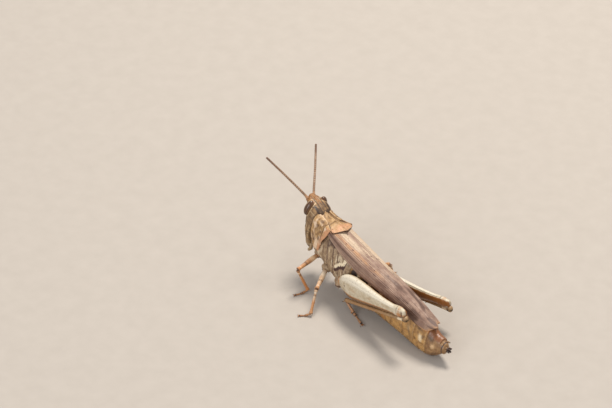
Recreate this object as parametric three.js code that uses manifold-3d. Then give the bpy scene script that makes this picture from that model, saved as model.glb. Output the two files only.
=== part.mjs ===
// A female short-horned field grasshopper at rest, life size, as a museum shows one.
// Millimetres. +X points to the head, +Y to the insect's left, +Z up; the floor is z = 0.
// Every measure along the body is taken from the point on the floor under the end of the
// abdomen, and the whole insect is moved at the end so that the middle of its box is the origin.
import * as THREE from "three";
import { mergeVertices } from "three/addons/utils/BufferGeometryUtils.js";
import Module from "manifold-3d";

const wasm = await Module();
wasm.setup();

// ---------------------------------------------------------------- driving dimensions

const GAP = 0.04; // air left between pieces that touch
const PLATE = 0.5; // thickness of the wings and of the pronotum's wall
const LIMB = 0.26; // smallest radius of a leg piece or feeler
const BOX_MIDDLE = [10.45, 0.92]; // middle of the insect's box along X and Y

const NECK_X = 17.0; // front margin of the pronotum
const HUMP_X = 13.35; // hind apex of the pronotum
const LOBE_EDGE = 3.85; // height of the lower edge of the pronotum's side lobes
const WING_TIP_X = -0.42;
const LAP_Y = -0.3; // where the left wing's edge lies on the right wing
const WAIST_X = 11.3; // where the thorax ends and the abdomen begins
const ABDOMEN_END_X = -1.3;
const ABDOMEN_RINGS = 8;

const ROLL = THREE.MathUtils.degToRad(12); // the body leans over to its right side
const BACK_HEIGHT = 3.5; // of the straight line of the back above the start point ...
const BACK_SLOPE = 0.26; // ... and how fast it climbs to the head

const HEAD_PITCH = THREE.MathUtils.degToRad(24); // the crown rises forward by this angle
const OCCIPUT = new THREE.Vector3(16.94, 0, 7.41); // back of the crown, at the pronotum
const CROWN_LENGTH = 2.4;
const HEAD_DEPTH = 3.3; // crown to the lower edge of the face
const MOUTH_DEPTH = 4.55; // crown to the tips of the jaws

const EYE_PLACE = new THREE.Vector3(18.26, 0.91, 7.42);
const EYE_RADII = [0.42, 0.38, 0.83];
const EYE_TURN = -0.145; // the eye's lower end stands forward ...
const EYE_ROLL = 0.21; // ... and its upper end leans in to the crown

const ANTENNA_BASE = new THREE.Vector3(18.95, 0.45, 7.75);
const ANTENNA_LENGTH = 6.3;
const SCAPE_LENGTH = 0.7; // the short first joints, which stand up before the feeler bends
const ANTENNA_AIM = {
  left: new THREE.Vector3(4.34, 2.15, 4.1).normalize(),
  right: new THREE.Vector3(3.9, -3.65, 2.6).normalize(),
};

// Joints of each leg, from the hip to the tip of the foot. The coxa and the hip are measured on
// the body before it leans over, the other joints above the floor.
const LEGS = {
  foreleg_left: {
    coxa: [16.1, 0.7, 3.1],
    hip: [16.0, 0.85, 3.1],
    knee: [15.75, 4.68, 2.95],
    ankle: [15.1, 3.85, 0.32],
    toe: [15.5, 5.2, 0.22],
  },
  foreleg_right: {
    coxa: [16.1, -0.7, 3.1],
    hip: [16.0, -0.9, 3.1],
    knee: [18.65, -3.4, 2.9],
    ankle: [19.45, -4.05, 0.32],
    toe: [20.4, -5.1, 0.22],
  },
  midleg_left: {
    coxa: [14.5, 1.0, 2.35],
    hip: [14.4, 1.15, 2.3],
    knee: [12.6, 4.85, 2.5],
    ankle: [12.05, 6.05, 0.32],
    toe: [12.75, 6.95, 0.22],
  },
  midleg_right: {
    coxa: [14.5, -1.0, 2.35],
    hip: [14.4, -1.2, 2.3],
    knee: [10.85, -3.5, 2.4],
    ankle: [10.85, -3.95, 0.32],
    toe: [11.7, -4.9, 0.22],
  },
};
const HIND_LEGS = {
  hindleg_left: {
    coxa: [12.2, 1.2, 2.05],
    hip: [11.75, 1.68, 2.55],
    knee: [2.0, 2.5, 4.85],
    shin: [2.25, 2.5, 4.0],
    ankle: [10.75, 2.6, 1.15],
    sole: [9.1, 2.65, 0.24],
    toe: [7.7, 3.05, 0.22],
    tilt: 0,
  },
  hindleg_right: {
    coxa: [12.2, -1.2, 2.05],
    hip: [11.75, -1.68, 2.55],
    knee: [1.9, -3.35, 3.08],
    shin: [2.15, -3.35, 2.25],
    ankle: [10.6, -2.15, 0.95],
    sole: [9.0, -2.55, 0.24],
    toe: [7.6, -3.05, 0.22],
    tilt: THREE.MathUtils.degToRad(18), // the upper keel of this femur leans in to the wings
  },
};
const LEG_THICKNESS = {
  foreleg: { femur: 0.34, tibia: 0.27, foot: 0.26 },
  midleg: { femur: 0.36, tibia: 0.27, foot: 0.26 },
};
// Radii of the hip joints along X, Y and Z.
const HIND_COXA = [0.62, 0.62, 0.72];
const COXA = { foreleg: [0.5, 0.46, 0.55], midleg: [0.55, 0.5, 0.5] };
const FEMUR_HALF_WIDTH = 0.62; // of the swollen hind femur
const SPINES = 5; // in each of the two rows on a hind tibia
const SPINE = { length: 0.45, radius: 0.11 };

const COLOURS = {
  crown: 0xa17247,
  eye: 0x5b3d24,
  antenna: 0x9b8169,
  jaw: 0x91754b,
  pronotum: 0xbf9a6c,
  chest: 0x927861,
  wing: 0xa88a72,
  abdomen: 0xa27e4c,
  abdomenEnd: 0x7f4f31,
  foreleg: 0xbc8a5c,
  midleg: 0xcdbaa1,
  femur: 0xd2c3ae,
  tibia: 0xa3855f,
  foot: 0x9a6a38,
};

// ---------------------------------------------------------------- shape helpers

const vec = (x, y, z) => new THREE.Vector3(x, y, z);

// The lean of the body, about the line of its back.
const backLine = vec(1, 0, BACK_SLOPE).normalize();
const lean = new THREE.Matrix4()
  .makeTranslation(0, 0, BACK_HEIGHT)
  .multiply(new THREE.Matrix4().makeRotationAxis(backLine, ROLL))
  .multiply(new THREE.Matrix4().makeTranslation(0, 0, -BACK_HEIGHT));
const onBody = (x, y, z) => vec(x, y, z).applyMatrix4(lean);

// A smooth curve of a size along the insect, through a few [place, size] pairs.
function sizeCurve(...pairs) {
  const slope = (i) => {
    const before = pairs[Math.max(i - 1, 0)];
    const after = pairs[Math.min(i + 1, pairs.length - 1)];
    return (after[1] - before[1]) / (after[0] - before[0]);
  };
  return (place) => {
    const found = pairs.findIndex((pair) => pair[0] >= place);
    const next = found < 0 ? pairs.length - 1 : Math.max(found, 1);
    const [x0, y0] = pairs[next - 1];
    const [x1, y1] = pairs[next];
    const span = x1 - x0;
    const t = THREE.MathUtils.clamp((place - x0) / span, 0, 1);
    const bend0 = slope(next - 1) * span;
    const bend1 = slope(next) * span;
    const a = 2 * y0 - 2 * y1 + bend0 + bend1;
    const b = 3 * y1 - 3 * y0 - 2 * bend0 - bend1;
    return ((a * t + b) * t + bend0) * t + y0;
  };
}

// Evenly spaced numbers from one end to the other.
function steps(from, to, count) {
  return Array.from({ length: count + 1 }, (_, i) => from + ((to - from) * i) / count);
}

// A closed triangle mesh as a solid, turned right side out if it came inside out.
function solidFrom(positions, faces) {
  const build = (order) => {
    const triVerts = new Uint32Array(order);
    const vertProperties = new Float32Array(positions);
    return new wasm.Manifold(new wasm.Mesh({ numProp: 3, vertProperties, triVerts }));
  };
  const made = build(faces);
  return made.volume() > 0 ? made : build(faces.slice().reverse());
}

// A three.js geometry as a solid.
function solidOf(geometry) {
  geometry.deleteAttribute("normal");
  geometry.deleteAttribute("uv");
  const merged = mergeVertices(geometry, 1e-4);
  return solidFrom([...merged.attributes.position.array], [...merged.index.array]);
}

// The two triangles between a point of one ring and the next point of the next ring.
function quad(faces, a, b, c, d) {
  faces.push(a, b, c, a, c, d);
}

// A solid through a row of rings that have the same number of points, closed at both ends.
function loft(rings) {
  const count = rings[0].length;
  const positions = [];
  const faces = [];
  rings.flat().forEach((p) => positions.push(p.x, p.y, p.z));
  for (let r = 0; r < rings.length - 1; r++)
    for (let i = 0; i < count; i++) {
      const j = (i + 1) % count;
      quad(faces, r * count + i, r * count + j, (r + 1) * count + j, (r + 1) * count + i);
    }
  for (const r of [0, rings.length - 1]) {
    const middle = vec(0, 0, 0);
    rings[r].forEach((p) => middle.addScaledVector(p, 1 / count));
    const pole = positions.length / 3;
    positions.push(middle.x, middle.y, middle.z);
    for (let i = 0; i < count; i++) {
      const j = (i + 1) % count;
      if (r === 0) faces.push(pole, r * count + j, r * count + i);
      else faces.push(pole, r * count + i, r * count + j);
    }
  }
  return solidFrom(positions, faces);
}

// A bent plate between an outer and an inner grid of points of the same size.
function plate(outer, inner) {
  const rows = outer.length;
  const columns = outer[0].length;
  const positions = [];
  const faces = [];
  [outer, inner].flat(2).forEach((p) => positions.push(p.x, p.y, p.z));
  const out = (r, c) => r * columns + c;
  const into = (r, c) => (rows + r) * columns + c;
  for (let r = 0; r < rows - 1; r++) {
    for (let c = 0; c < columns - 1; c++) {
      quad(faces, out(r, c), out(r, c + 1), out(r + 1, c + 1), out(r + 1, c));
      quad(faces, into(r, c), into(r + 1, c), into(r + 1, c + 1), into(r, c + 1));
    }
    const last = columns - 1;
    quad(faces, out(r, 0), out(r + 1, 0), into(r + 1, 0), into(r, 0));
    quad(faces, out(r, last), into(r, last), into(r + 1, last), out(r + 1, last));
  }
  for (let c = 0; c < columns - 1; c++) {
    const last = rows - 1;
    quad(faces, out(0, c), into(0, c), into(0, c + 1), out(0, c + 1));
    quad(faces, out(last, c), out(last, c + 1), into(last, c + 1), into(last, c));
  }
  return solidFrom(positions, faces);
}

// A rounded ring across the body: squarer than an ellipse as the power rises above 2.
function crossRing(x, top, bottom, halfWidth, sides, power = 2.3) {
  const round = (value) => Math.sign(value) * Math.abs(value) ** (2 / power);
  return steps(0, 2 * Math.PI, sides)
    .slice(0, sides)
    .map((angle) => {
      const y = halfWidth * round(Math.sin(angle));
      const z = (top + bottom) / 2 + ((top - bottom) / 2) * round(Math.cos(angle));
      return onBody(x, y, z);
    });
}

// A round rod along a few points, with its radius at each of them and domed ends.
function rod(points, radii, sides = 8, grow = 0) {
  const straight = points.length === 2;
  const curve = straight ? new THREE.LineCurve3(...points) : new THREE.CatmullRomCurve3(points);
  const spans = straight ? 1 : 2 * (points.length - 1);
  const radiusAt = sizeCurve(...radii.map((radius, i) => [i / (radii.length - 1), radius]));
  const start = curve.getTangent(0);
  const across = vec(-start.y, start.x, 0.01).cross(start).normalize();
  const ring = (t, along, scale) => {
    const forward = curve.getTangent(t);
    const side = across.clone().addScaledVector(forward, -across.dot(forward)).normalize();
    const up = forward.clone().cross(side);
    const radius = (radiusAt(t) + grow) * scale;
    return steps(0, 2 * Math.PI, sides)
      .slice(0, sides)
      .map((angle) =>
        curve
          .getPoint(t)
          .addScaledVector(forward, along)
          .addScaledVector(side, radius * Math.cos(angle))
          .addScaledVector(up, radius * Math.sin(angle)),
      );
  };
  const dome = radii[0] / 2 + grow;
  return loft([
    ring(0, -dome, 0.55),
    ...steps(0, 1, spans).map((t) => ring(t, 0, 1)),
    ring(1, dome, 0.55),
  ]);
}

// An egg-shaped solid that sits on the body and leans with it.
function egg(centre, radii, [roll, turn], grow, segments) {
  const geometry = new THREE.SphereGeometry(1, segments, Math.ceil(segments * 0.6));
  geometry.scale(radii[0] + grow, radii[1] + grow, radii[2] + grow);
  geometry.rotateX(roll);
  geometry.rotateY(turn);
  geometry.translate(...centre);
  geometry.applyMatrix4(lean);
  return solidOf(geometry);
}

// A thick slab of a shape drawn on a plane.
function slab(outline, thickness, place) {
  const shape = new THREE.Shape(outline.map(([a, b]) => new THREE.Vector2(a, b)));
  const geometry = new THREE.ExtrudeGeometry(shape, { depth: thickness, bevelEnabled: false });
  geometry.translate(0, 0, -thickness / 2);
  geometry.applyMatrix4(place);
  return solidOf(geometry);
}

const belowFloor = solidOf(new THREE.BoxGeometry(60, 40, 4).translate(8, 0, -2));
const onFloor = (solid) => solid.subtract(belowFloor);
const SIDES = { left: 1, right: -1 };
const sideOf = (name) => SIDES[name.split("_")[1]];
const point = (place) => vec(...place);
const hipOf = (leg) => onBody(...leg.hip);

// ---------------------------------------------------------------- body profiles

const wingTop = sizeCurve([WING_TIP_X, 3.4], [3.27, 4.47], [10.84, 6.13], [15, 6.95]);
const wingMargin = sizeCurve([WING_TIP_X, 2.75], [1.5, 2.95], [3.5, 3.5], [5, 3.85], [8, 4.05],
  [10.5, 4.35], [13, 5.25], [15, 6.3]);
const wingHalfWidth = sizeCurve([WING_TIP_X, 0.5], [0.1, 0.8], [1.5, 0.98], [4, 1.17], [8, 1.36],
  [12, 1.48], [15, 1.45]);
const bodyBottom = sizeCurve([-1.5, 0.85], [-0.3, 0], [1, -0.2], [4, 0.2], [9.5, 0.85],
  [13, 1.5], [14.5, 2.0], [17, 3.1]);
const chestHalfWidth = sizeCurve([10.9, 1.3], [12.3, 1.42], [14, 1.35], [15.2, 1.2], [17.2, 1.0]);
const bellyHalfWidth = sizeCurve([-1.5, 0.5], [-0.5, 0.78], [2, 1.0], [6, 1.15], [11.5, 1.28]);
const discTop = sizeCurve([13, 6.9], [14.4, 7.08], [16, 7.22], [17.2, 7.45]);
const discHalfWidth = sizeCurve([13, 1.46], [14.4, 1.42], [15, 1.15], [15.6, 0.82], [16.2, 0.66],
  [17.2, 0.7]);
const discFall = sizeCurve([13, 0.42], [14.4, 0.38], [15.6, 0.16], [17.2, 0.1]);
const lobeHalfWidth = sizeCurve([13, 1.58], [14.4, 1.62], [16, 1.48], [17.2, 1.42]);

// ---------------------------------------------------------------- head

// A point of the head from its distance forward along the crown and up from it.
function headPoint(forward, side, up) {
  const cos = Math.cos(HEAD_PITCH);
  const sin = Math.sin(HEAD_PITCH);
  return onBody(
    OCCIPUT.x + forward * cos - up * sin,
    side,
    OCCIPUT.z + forward * sin + up * cos,
  );
}

// The head's reach forward and back, and its half width, by height from the crown.
const faceFront = sizeCurve([-4.6, -0.7], [-4.1, -0.3], [-3.2, 0.28], [-2, 1.05], [-1, 1.68],
  [-0.35, 2.2], [0, CROWN_LENGTH], [0.16, 1.9]);
const headBack = sizeCurve([-4.6, -1.25], [-4.1, -1.3], [-3.2, -1.2], [-2, -0.95], [-1, -0.7],
  [-0.3, -0.45], [0, -0.2], [0.16, 0.4]);
const headHalfWidth = sizeCurve([-4.6, 0.4], [-4.1, 0.78], [-3.2, 1.22], [-2.2, 1.48], [-1.2, 1.38],
  [-0.4, 1.22], [0, 0.98], [0.16, 0.6]);

// One level ring of the head; the front half narrows towards the ridge of the face.
function headRing(up, sides, scale = 1) {
  const front = faceFront(up);
  const back = headBack(up);
  const pinch = THREE.MathUtils.mapLinear(up, -4.6, 0.16, 0.2, 0.42);
  return steps(0, 2 * Math.PI, sides)
    .slice(0, sides)
    .map((angle) => {
      const forward = (front + back) / 2 + ((front - back) / 2) * Math.cos(angle) * scale;
      const narrow = 1 - pinch * Math.cos(angle);
      return headPoint(forward, headHalfWidth(up) * Math.sin(angle) * narrow * scale, up);
    });
}

function headCapsule(grow = 0) {
  const levels = [-HEAD_DEPTH - grow, -2.7, -2.1, -1.5, -1, -0.6, -0.3, -0.1, 0.06, 0.16];
  return loft(levels.map((up) => headRing(up, 12, 1 + grow)));
}

function mouthparts(grow = 0) {
  const levels = [-MOUTH_DEPTH, -4.4, -4.05, -3.7, -HEAD_DEPTH - GAP];
  return loft(levels.map((up, i) => headRing(up, 12, i === 0 ? 0.7 : 0.97 + grow)));
}

function eye(side, grow = 0) {
  const centre = [EYE_PLACE.x, side * EYE_PLACE.y, EYE_PLACE.z];
  return egg(centre, EYE_RADII, [side * EYE_ROLL, EYE_TURN], grow, 10);
}

function antenna(name, grow = 0) {
  const side = SIDES[name];
  const base = onBody(ANTENNA_BASE.x, side * ANTENNA_BASE.y, ANTENNA_BASE.z);
  const bend = base.clone().add(vec(0.3, side * 0.12, 0.5));
  const reach = (length) => bend.clone().addScaledVector(ANTENNA_AIM[name], length);
  const droop = vec(0.08, 0, -0.1);
  const tip = reach(ANTENNA_LENGTH - SCAPE_LENGTH).add(droop);
  const points = [base, bend, reach(ANTENNA_LENGTH * 0.45), tip];
  return rod(points, [LIMB + 0.04, LIMB, LIMB, LIMB - 0.01], 7, grow);
}

function palp(side) {
  const points = [
    headPoint(-1.25, side * 0.85, -3.5),
    headPoint(-1.5, side * 0.95, -3.85),
    headPoint(-1.45, side * 0.85, -4.2),
  ];
  return rod(points, [LIMB, LIMB, LIMB], 6);
}

// ---------------------------------------------------------------- pronotum and thorax

// Half of the saddle's outline across the body, from the middle keel to the lobe's edge.
function saddleLine(x, lower, grow) {
  const top = discTop(x) + grow;
  const disc = discHalfWidth(x) + grow;
  const fall = discFall(x);
  const lobe = lobeHalfWidth(x) + grow;
  const edge = lower - grow;
  const ridge = Math.min(0.16, disc * 0.3);
  return [
    [0, top + 0.12],
    [ridge, top - 0.02],
    [disc - ridge, top - fall - 0.05],
    [disc, top - fall],
    [Math.max(disc + 0.09, lobe * 0.9), top - Math.max(fall + 0.2, 0.48)],
    [lobe, top - 1.15],
    [lobe + 0.02, (top + edge) / 2 - 0.3],
    [lobe - 0.12, edge],
  ];
}

const bothSides = (half) => [...half.slice(1).reverse().map(([y, z]) => [-y, z]), ...half];
const SADDLE_X = [13.1, 13.8, 14.5, 15.2, 15.9, 16.5, 17, 17.5];

// What the pronotum covers seen from the side and from above.
function saddleCutters(grow) {
  const side = [
    [NECK_X + grow, 9],
    [NECK_X + grow, 5.8],
    [NECK_X - 0.25 + grow, 4.8],
    [NECK_X - 0.6 + grow, 4.1 - grow],
    [NECK_X - 1.0, LOBE_EDGE - grow],
    [NECK_X - 1.4 - grow, 4.15 - grow],
    [NECK_X - 1.85 - grow, 5.8],
    [NECK_X - 2.45 - grow, 6.5 - grow],
    [HUMP_X - 0.6, 6.25 - grow],
    [HUMP_X - 0.6, 9],
  ];
  const above = [
    [HUMP_X - grow, 0],
    [HUMP_X + 1.15 - grow, 1.7],
    [HUMP_X + 1.15 - grow, 3],
    [18.5, 3],
    [18.5, -3],
    [HUMP_X + 1.15 - grow, -3],
    [HUMP_X + 1.15 - grow, -1.7],
  ];
  const standUp = lean.clone().multiply(new THREE.Matrix4().makeRotationX(Math.PI / 2));
  return slab(side, 8, standUp).intersect(slab(above, 30, lean));
}

function pronotum(grow = 0) {
  const sheet = (inset) =>
    SADDLE_X.map((x) =>
      bothSides(saddleLine(x, LOBE_EDGE, grow - inset)).map(([y, z]) =>
        onBody(x, y, inset > 0 ? Math.max(z, LOBE_EDGE - grow) : z),
      ),
    );
  return plate(sheet(0), sheet(PLATE + 2 * grow)).intersect(saddleCutters(grow));
}

// The pronotum and all that lies under it, which the wings' roots must keep clear of.
function pronotumBlock(grow = 0) {
  const rings = SADDLE_X.map((x) => {
    const lower = bodyBottom(Math.min(x, 17)) - 0.5;
    return bothSides(saddleLine(x, lower, grow)).map(([y, z]) => onBody(x, y, z));
  });
  return loft(rings).intersect(saddleCutters(grow));
}

function thorax(grow = 0) {
  const places = [WAIST_X - 0.02, 12.2, 13.4, 14.6, 15.8, 17.1];
  return loft(
    places.map((x) => {
      const top = Math.min(wingTop(x), discTop(Math.max(x, 13))) - PLATE + 0.05 + grow;
      return crossRing(x, top, bodyBottom(x) - grow, chestHalfWidth(x) + grow, 12, 2.6);
    }),
  );
}

// ---------------------------------------------------------------- wings

// Half of the roof that a folded wing makes, from the back's middle to its lower margin.
function roofLine(x, grow) {
  const top = wingTop(x) + grow;
  const width = wingHalfWidth(x) + grow;
  const margin = wingMargin(x) - grow;
  const fall = top - margin;
  return [
    [0, top],
    [width * 0.45, top - 0.04 * fall],
    [width * 0.7, top - 0.12 * fall],
    [width * 0.88, top - 0.38 * fall],
    [width, top - 0.72 * fall],
    [width, margin],
  ];
}

// Both wings as one roof: a plate bent over the back, open below.
function roof(grow) {
  const tip = WING_TIP_X - grow;
  const places = [tip, tip + 0.3, tip + 0.8, 1.6, 3.4, 5.4, 7.6, 9.8, 11.8, 13.4, 14.6];
  const wall = PLATE + 2 * grow;
  const outer = places.map((x) => bothSides(roofLine(x, grow)));
  const inner = outer.map((line, row) => {
    const [width, margin] = line[0].map(Math.abs);
    const narrow = Math.max(width - wall, 0.2) / width;
    const fall = wingTop(places[row]) + grow - margin;
    const flatten = Math.max(fall - wall, 0.06) / fall;
    return line.map(([y, z]) => [y * narrow, margin + (z - margin) * flatten]);
  });
  const placed = (grid) =>
    grid.map((line, row) => line.map(([y, z]) => onBody(places[row], y, z)));
  return plate(placed(outer), placed(inner));
}

// The left wing laps over the right one, so they part a little to the right of the middle.
function wing(side, grow = 0) {
  const edge = LAP_Y - side * grow + (side * GAP) / 2;
  const half = new THREE.BoxGeometry(40, 20, 40).translate(8, edge + side * 10, 0);
  half.applyMatrix4(lean);
  return roof(grow).intersect(solidOf(half));
}

// ---------------------------------------------------------------- abdomen

function abdomenRing(index) {
  const length = (WAIST_X - ABDOMEN_END_X) / ABDOMEN_RINGS;
  const front = WAIST_X - index * length - GAP;
  const back = front - length + GAP;
  const lip = 0.06; // each ring's hind edge stands over the next one
  const shape = (x, swell) => {
    const top = Math.min(wingTop(Math.max(x, WING_TIP_X)) - PLATE, 5.2) + swell;
    const end = index === ABDOMEN_RINGS - 1 ? 0.25 * (front - x) : 0;
    return crossRing(x, top - end, bodyBottom(x) - swell, bellyHalfWidth(x) + swell, 16, 2.2);
  };
  const middle = (front + back) / 2;
  return onFloor(loft([shape(front, -lip), shape(middle, 0), shape(back, 0)]));
}

function abdomenTip() {
  const body = loft([
    crossRing(ABDOMEN_END_X - GAP, 2.45, 0.75, 0.62, 14, 2),
    crossRing(ABDOMEN_END_X - 0.35, 2.2, 0.85, 0.5, 14, 2),
    crossRing(ABDOMEN_END_X - 0.6, 1.85, 1.0, 0.32, 14, 2),
  ]);
  const valve = (lift) =>
    rod(
      [
        onBody(ABDOMEN_END_X - 0.3, 0, 1.5 + lift / 2),
        onBody(ABDOMEN_END_X - 0.95, 0, 1.5 + lift),
      ],
      [LIMB + 0.02, LIMB - 0.02],
    );
  return body.add(valve(0.24)).add(valve(-0.08));
}

// ---------------------------------------------------------------- legs

function coxa(leg, radii, grow = 0) {
  return egg(leg.coxa, radii, [0, 0], grow, 8);
}

function slimFemur(leg, kind, grow = 0) {
  const radius = LEG_THICKNESS[kind].femur;
  return rod([hipOf(leg), point(leg.knee)], [radius, radius - 0.05], 8, grow);
}

function slimTibia(leg, kind, grow = 0) {
  const radius = LEG_THICKNESS[kind].tibia;
  return rod([point(leg.knee), point(leg.ankle)], [radius, radius], 7, grow);
}

function slimFoot(leg, kind) {
  const radius = LEG_THICKNESS[kind].foot;
  const ball = point(leg.ankle).lerp(point(leg.toe), 0.5).setZ(leg.toe[2]);
  return onFloor(rod([point(leg.ankle), ball, point(leg.toe)], [radius, radius, radius], 6));
}

const femurAbove = sizeCurve([0, 0.5], [0.06, 0.9], [0.18, 1.28], [0.3, 1.24], [0.45, 0.96],
  [0.65, 0.58], [0.82, 0.45], [0.93, 0.56], [1, 0.42]);
const femurBelow = sizeCurve([0, 0.55], [0.06, 1.0], [0.18, 1.48], [0.3, 1.38], [0.45, 1.14],
  [0.65, 0.84], [0.82, 0.64], [0.93, 0.62], [1, 0.4]);
const femurSide = sizeCurve([0, 0.55], [0.06, 0.78], [0.18, 1], [0.35, 1], [0.6, 0.74],
  [0.82, 0.58], [0.93, 0.74], [1, 0.5]);

// The swollen jumping femur: keeled above and below, with a flat, ridged outer face.
function jumpingFemur(leg, side, grow = 0) {
  const hip = hipOf(leg);
  const knee = point(leg.knee);
  const along = knee.clone().sub(hip).normalize();
  const outward = vec(0, side, 0).addScaledVector(along, -along.y * side).normalize();
  const upward = along.clone().cross(outward).multiplyScalar(side).normalize();
  if (upward.z < 0) upward.negate();
  outward.applyAxisAngle(along, leg.tilt);
  upward.applyAxisAngle(along, leg.tilt);
  const outline = [
    [0, 1], [0.62, 0.8], [0.95, 0.45], [1, 0], [0.95, -0.45], [0.62, -0.8],
    [0, -1], [-0.6, -0.72], [-0.88, -0.3], [-0.88, 0.3], [-0.6, 0.72],
  ];
  const ring = (t, scale, shift) =>
    outline.map(([out, up]) => {
      const height = up > 0 ? femurAbove(t) : femurBelow(t);
      return hip
        .clone()
        .lerp(knee, t)
        .addScaledVector(along, shift)
        .addScaledVector(outward, out * (FEMUR_HALF_WIDTH * femurSide(t) + grow) * scale)
        .addScaledVector(upward, up * (height + grow) * scale);
    });
  const places = [0, 0.05, 0.11, 0.2, 0.31, 0.44, 0.58, 0.72, 0.84, 0.92, 0.97, 1];
  return loft([
    ring(0, 0.55, -0.2 - grow),
    ...places.map((t) => ring(t, 1, 0)),
    ring(1, 0.6, 0.16 + grow),
  ]);
}

// One cone of the two rows that stand on the back of a hind tibia, leaning to the foot.
function spine(root, aim) {
  const geometry = new THREE.ConeGeometry(SPINE.radius, SPINE.length, 3);
  geometry.translate(0, SPINE.length / 2, 0);
  geometry.applyQuaternion(new THREE.Quaternion().setFromUnitVectors(vec(0, 1, 0), aim));
  geometry.translate(root.x, root.y, root.z);
  return solidOf(geometry);
}

function hindTibia(leg, grow = 0) {
  const knee = point(leg.knee).add(vec(-0.05, 0, -0.35));
  const bulge = point(leg.shin).add(vec(-0.42, 0, 0.1));
  const shin = point(leg.shin);
  const ankle = point(leg.ankle);
  const head = rod([knee, bulge, shin.clone().lerp(ankle, 0.08)], [0.31, 0.3, LIMB], 7, grow);
  return head.add(rod([shin, ankle], [LIMB, LIMB + 0.03], 6, grow));
}

function spines(leg) {
  const shin = point(leg.shin);
  const ankle = point(leg.ankle);
  const along = ankle.clone().sub(shin).normalize();
  const made = [];
  for (const share of steps(0.28, 0.97, SPINES - 1))
    for (const row of [-1, 1]) {
      const outward = vec(0, 0.62 * row, -0.78);
      const root = shin.clone().lerp(ankle, share).addScaledVector(outward, LIMB * 0.6);
      made.push(spine(root, outward.addScaledVector(along, 0.9).normalize()));
    }
  return made;
}

function hindFoot(leg) {
  const points = [leg.ankle, leg.sole, leg.toe].map(point);
  return onFloor(rod(points, [LIMB + 0.02, LIMB, LIMB], 6));
}

// ---------------------------------------------------------------- assembly

const pieces = new Map();

function add(name, colour, roughness, solid, ...neighbours) {
  const cut = neighbours.reduce((left, neighbour) => left.subtract(neighbour), solid);
  const bodies = cut.decompose().sort((a, b) => b.volume() - a.volume());
  pieces.set(name, { solid: bodies[0], colour, roughness });
}

function addSlimLeg(name, leg) {
  const kind = name.split("_")[0];
  const colour = COLOURS[kind];
  add(name + "_coxa", COLOURS.chest, 0.6, coxa(leg, COXA[kind]));
  add(name + "_femur", colour, 0.5, slimFemur(leg, kind), coxa(leg, COXA[kind], GAP),
    thorax(GAP), pronotumBlock(GAP));
  add(name + "_tibia", colour, 0.5, slimTibia(leg, kind), slimFemur(leg, kind, GAP));
  add(name + "_foot", COLOURS.foot, 0.5, slimFoot(leg, kind), slimTibia(leg, kind, GAP));
}

function addHindLeg(name, leg) {
  const side = sideOf(name);
  const femurSpace = jumpingFemur(leg, side, GAP);
  add(name + "_coxa", COLOURS.chest, 0.6, coxa(leg, HIND_COXA), femurSpace);
  add(name + "_femur", COLOURS.femur, 0.45, jumpingFemur(leg, side));
  const tibia = spines(leg).reduce((whole, one) => whole.add(one), hindTibia(leg));
  add(name + "_tibia", COLOURS.tibia, 0.45, tibia, femurSpace);
  add(name + "_foot", COLOURS.foot, 0.5, hindFoot(leg), hindTibia(leg, GAP));
}

const wingSpaces = [wing(1, GAP), wing(-1, GAP)];
const hipSpaces = [];
for (const [name, leg] of Object.entries(LEGS))
  hipSpaces.push(coxa(leg, COXA[name.split("_")[0]], GAP));
for (const leg of Object.values(HIND_LEGS)) hipSpaces.push(coxa(leg, HIND_COXA, GAP));
const femurSpaces = Object.entries(HIND_LEGS).map(([name, leg]) =>
  jumpingFemur(leg, sideOf(name), GAP),
);

const headSpace = headCapsule(GAP);
const mouthSpace = mouthparts(GAP);

add("head", COLOURS.crown, 0.55, headCapsule(), eye(1, GAP), eye(-1, GAP), antenna("left", GAP),
  antenna("right", GAP), pronotum(GAP), thorax(GAP));
add("mouthparts", COLOURS.jaw, 0.55, mouthparts(), thorax(GAP));
for (const [name, side] of Object.entries(SIDES)) {
  add("eye_" + name, COLOURS.eye, 0.2, eye(side));
  add("antenna_" + name, COLOURS.antenna, 0.5, antenna(name));
  add("palp_" + name, COLOURS.jaw, 0.5, palp(side), mouthSpace, headSpace, thorax(GAP),
    ...hipSpaces);
}
add("pronotum", COLOURS.pronotum, 0.6, pronotum());
add("thorax", COLOURS.chest, 0.6, thorax(), pronotum(GAP), ...wingSpaces, ...hipSpaces,
  ...femurSpaces);
for (const [name, side] of Object.entries(SIDES))
  add("wing_" + name, COLOURS.wing, 0.6, wing(side), pronotumBlock(GAP));
for (let ring = 0; ring < ABDOMEN_RINGS; ring++) {
  const colour = ring < ABDOMEN_RINGS - 1 ? COLOURS.abdomen : COLOURS.abdomenEnd;
  add("abdomen_" + (ring + 1), colour, 0.5, abdomenRing(ring), ...wingSpaces, ...hipSpaces,
    ...femurSpaces);
}
add("abdomen_tip", COLOURS.abdomenEnd, 0.5, abdomenTip());
for (const [name, leg] of Object.entries(LEGS)) addSlimLeg(name, leg);
for (const [name, leg] of Object.entries(HIND_LEGS)) addHindLeg(name, leg);

const insect = new THREE.Group();
insect.position.set(-BOX_MIDDLE[0], -BOX_MIDDLE[1], 0);
for (const [name, piece] of pieces) {
  const { vertProperties, triVerts } = piece.solid.getMesh();
  const geometry = new THREE.BufferGeometry()
    .setAttribute("position", new THREE.BufferAttribute(vertProperties, 3))
    .setIndex(new THREE.BufferAttribute(triVerts, 1));
  const material = new THREE.MeshStandardMaterial({
    color: piece.colour,
    roughness: piece.roughness,
    metalness: 0,
    flatShading: true,
  });
  const mesh = new THREE.Mesh(geometry, material);
  mesh.name = name;
  insect.add(mesh);
}

const grasshopper = new THREE.Group();
grasshopper.add(insect);
export default grasshopper;
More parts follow.
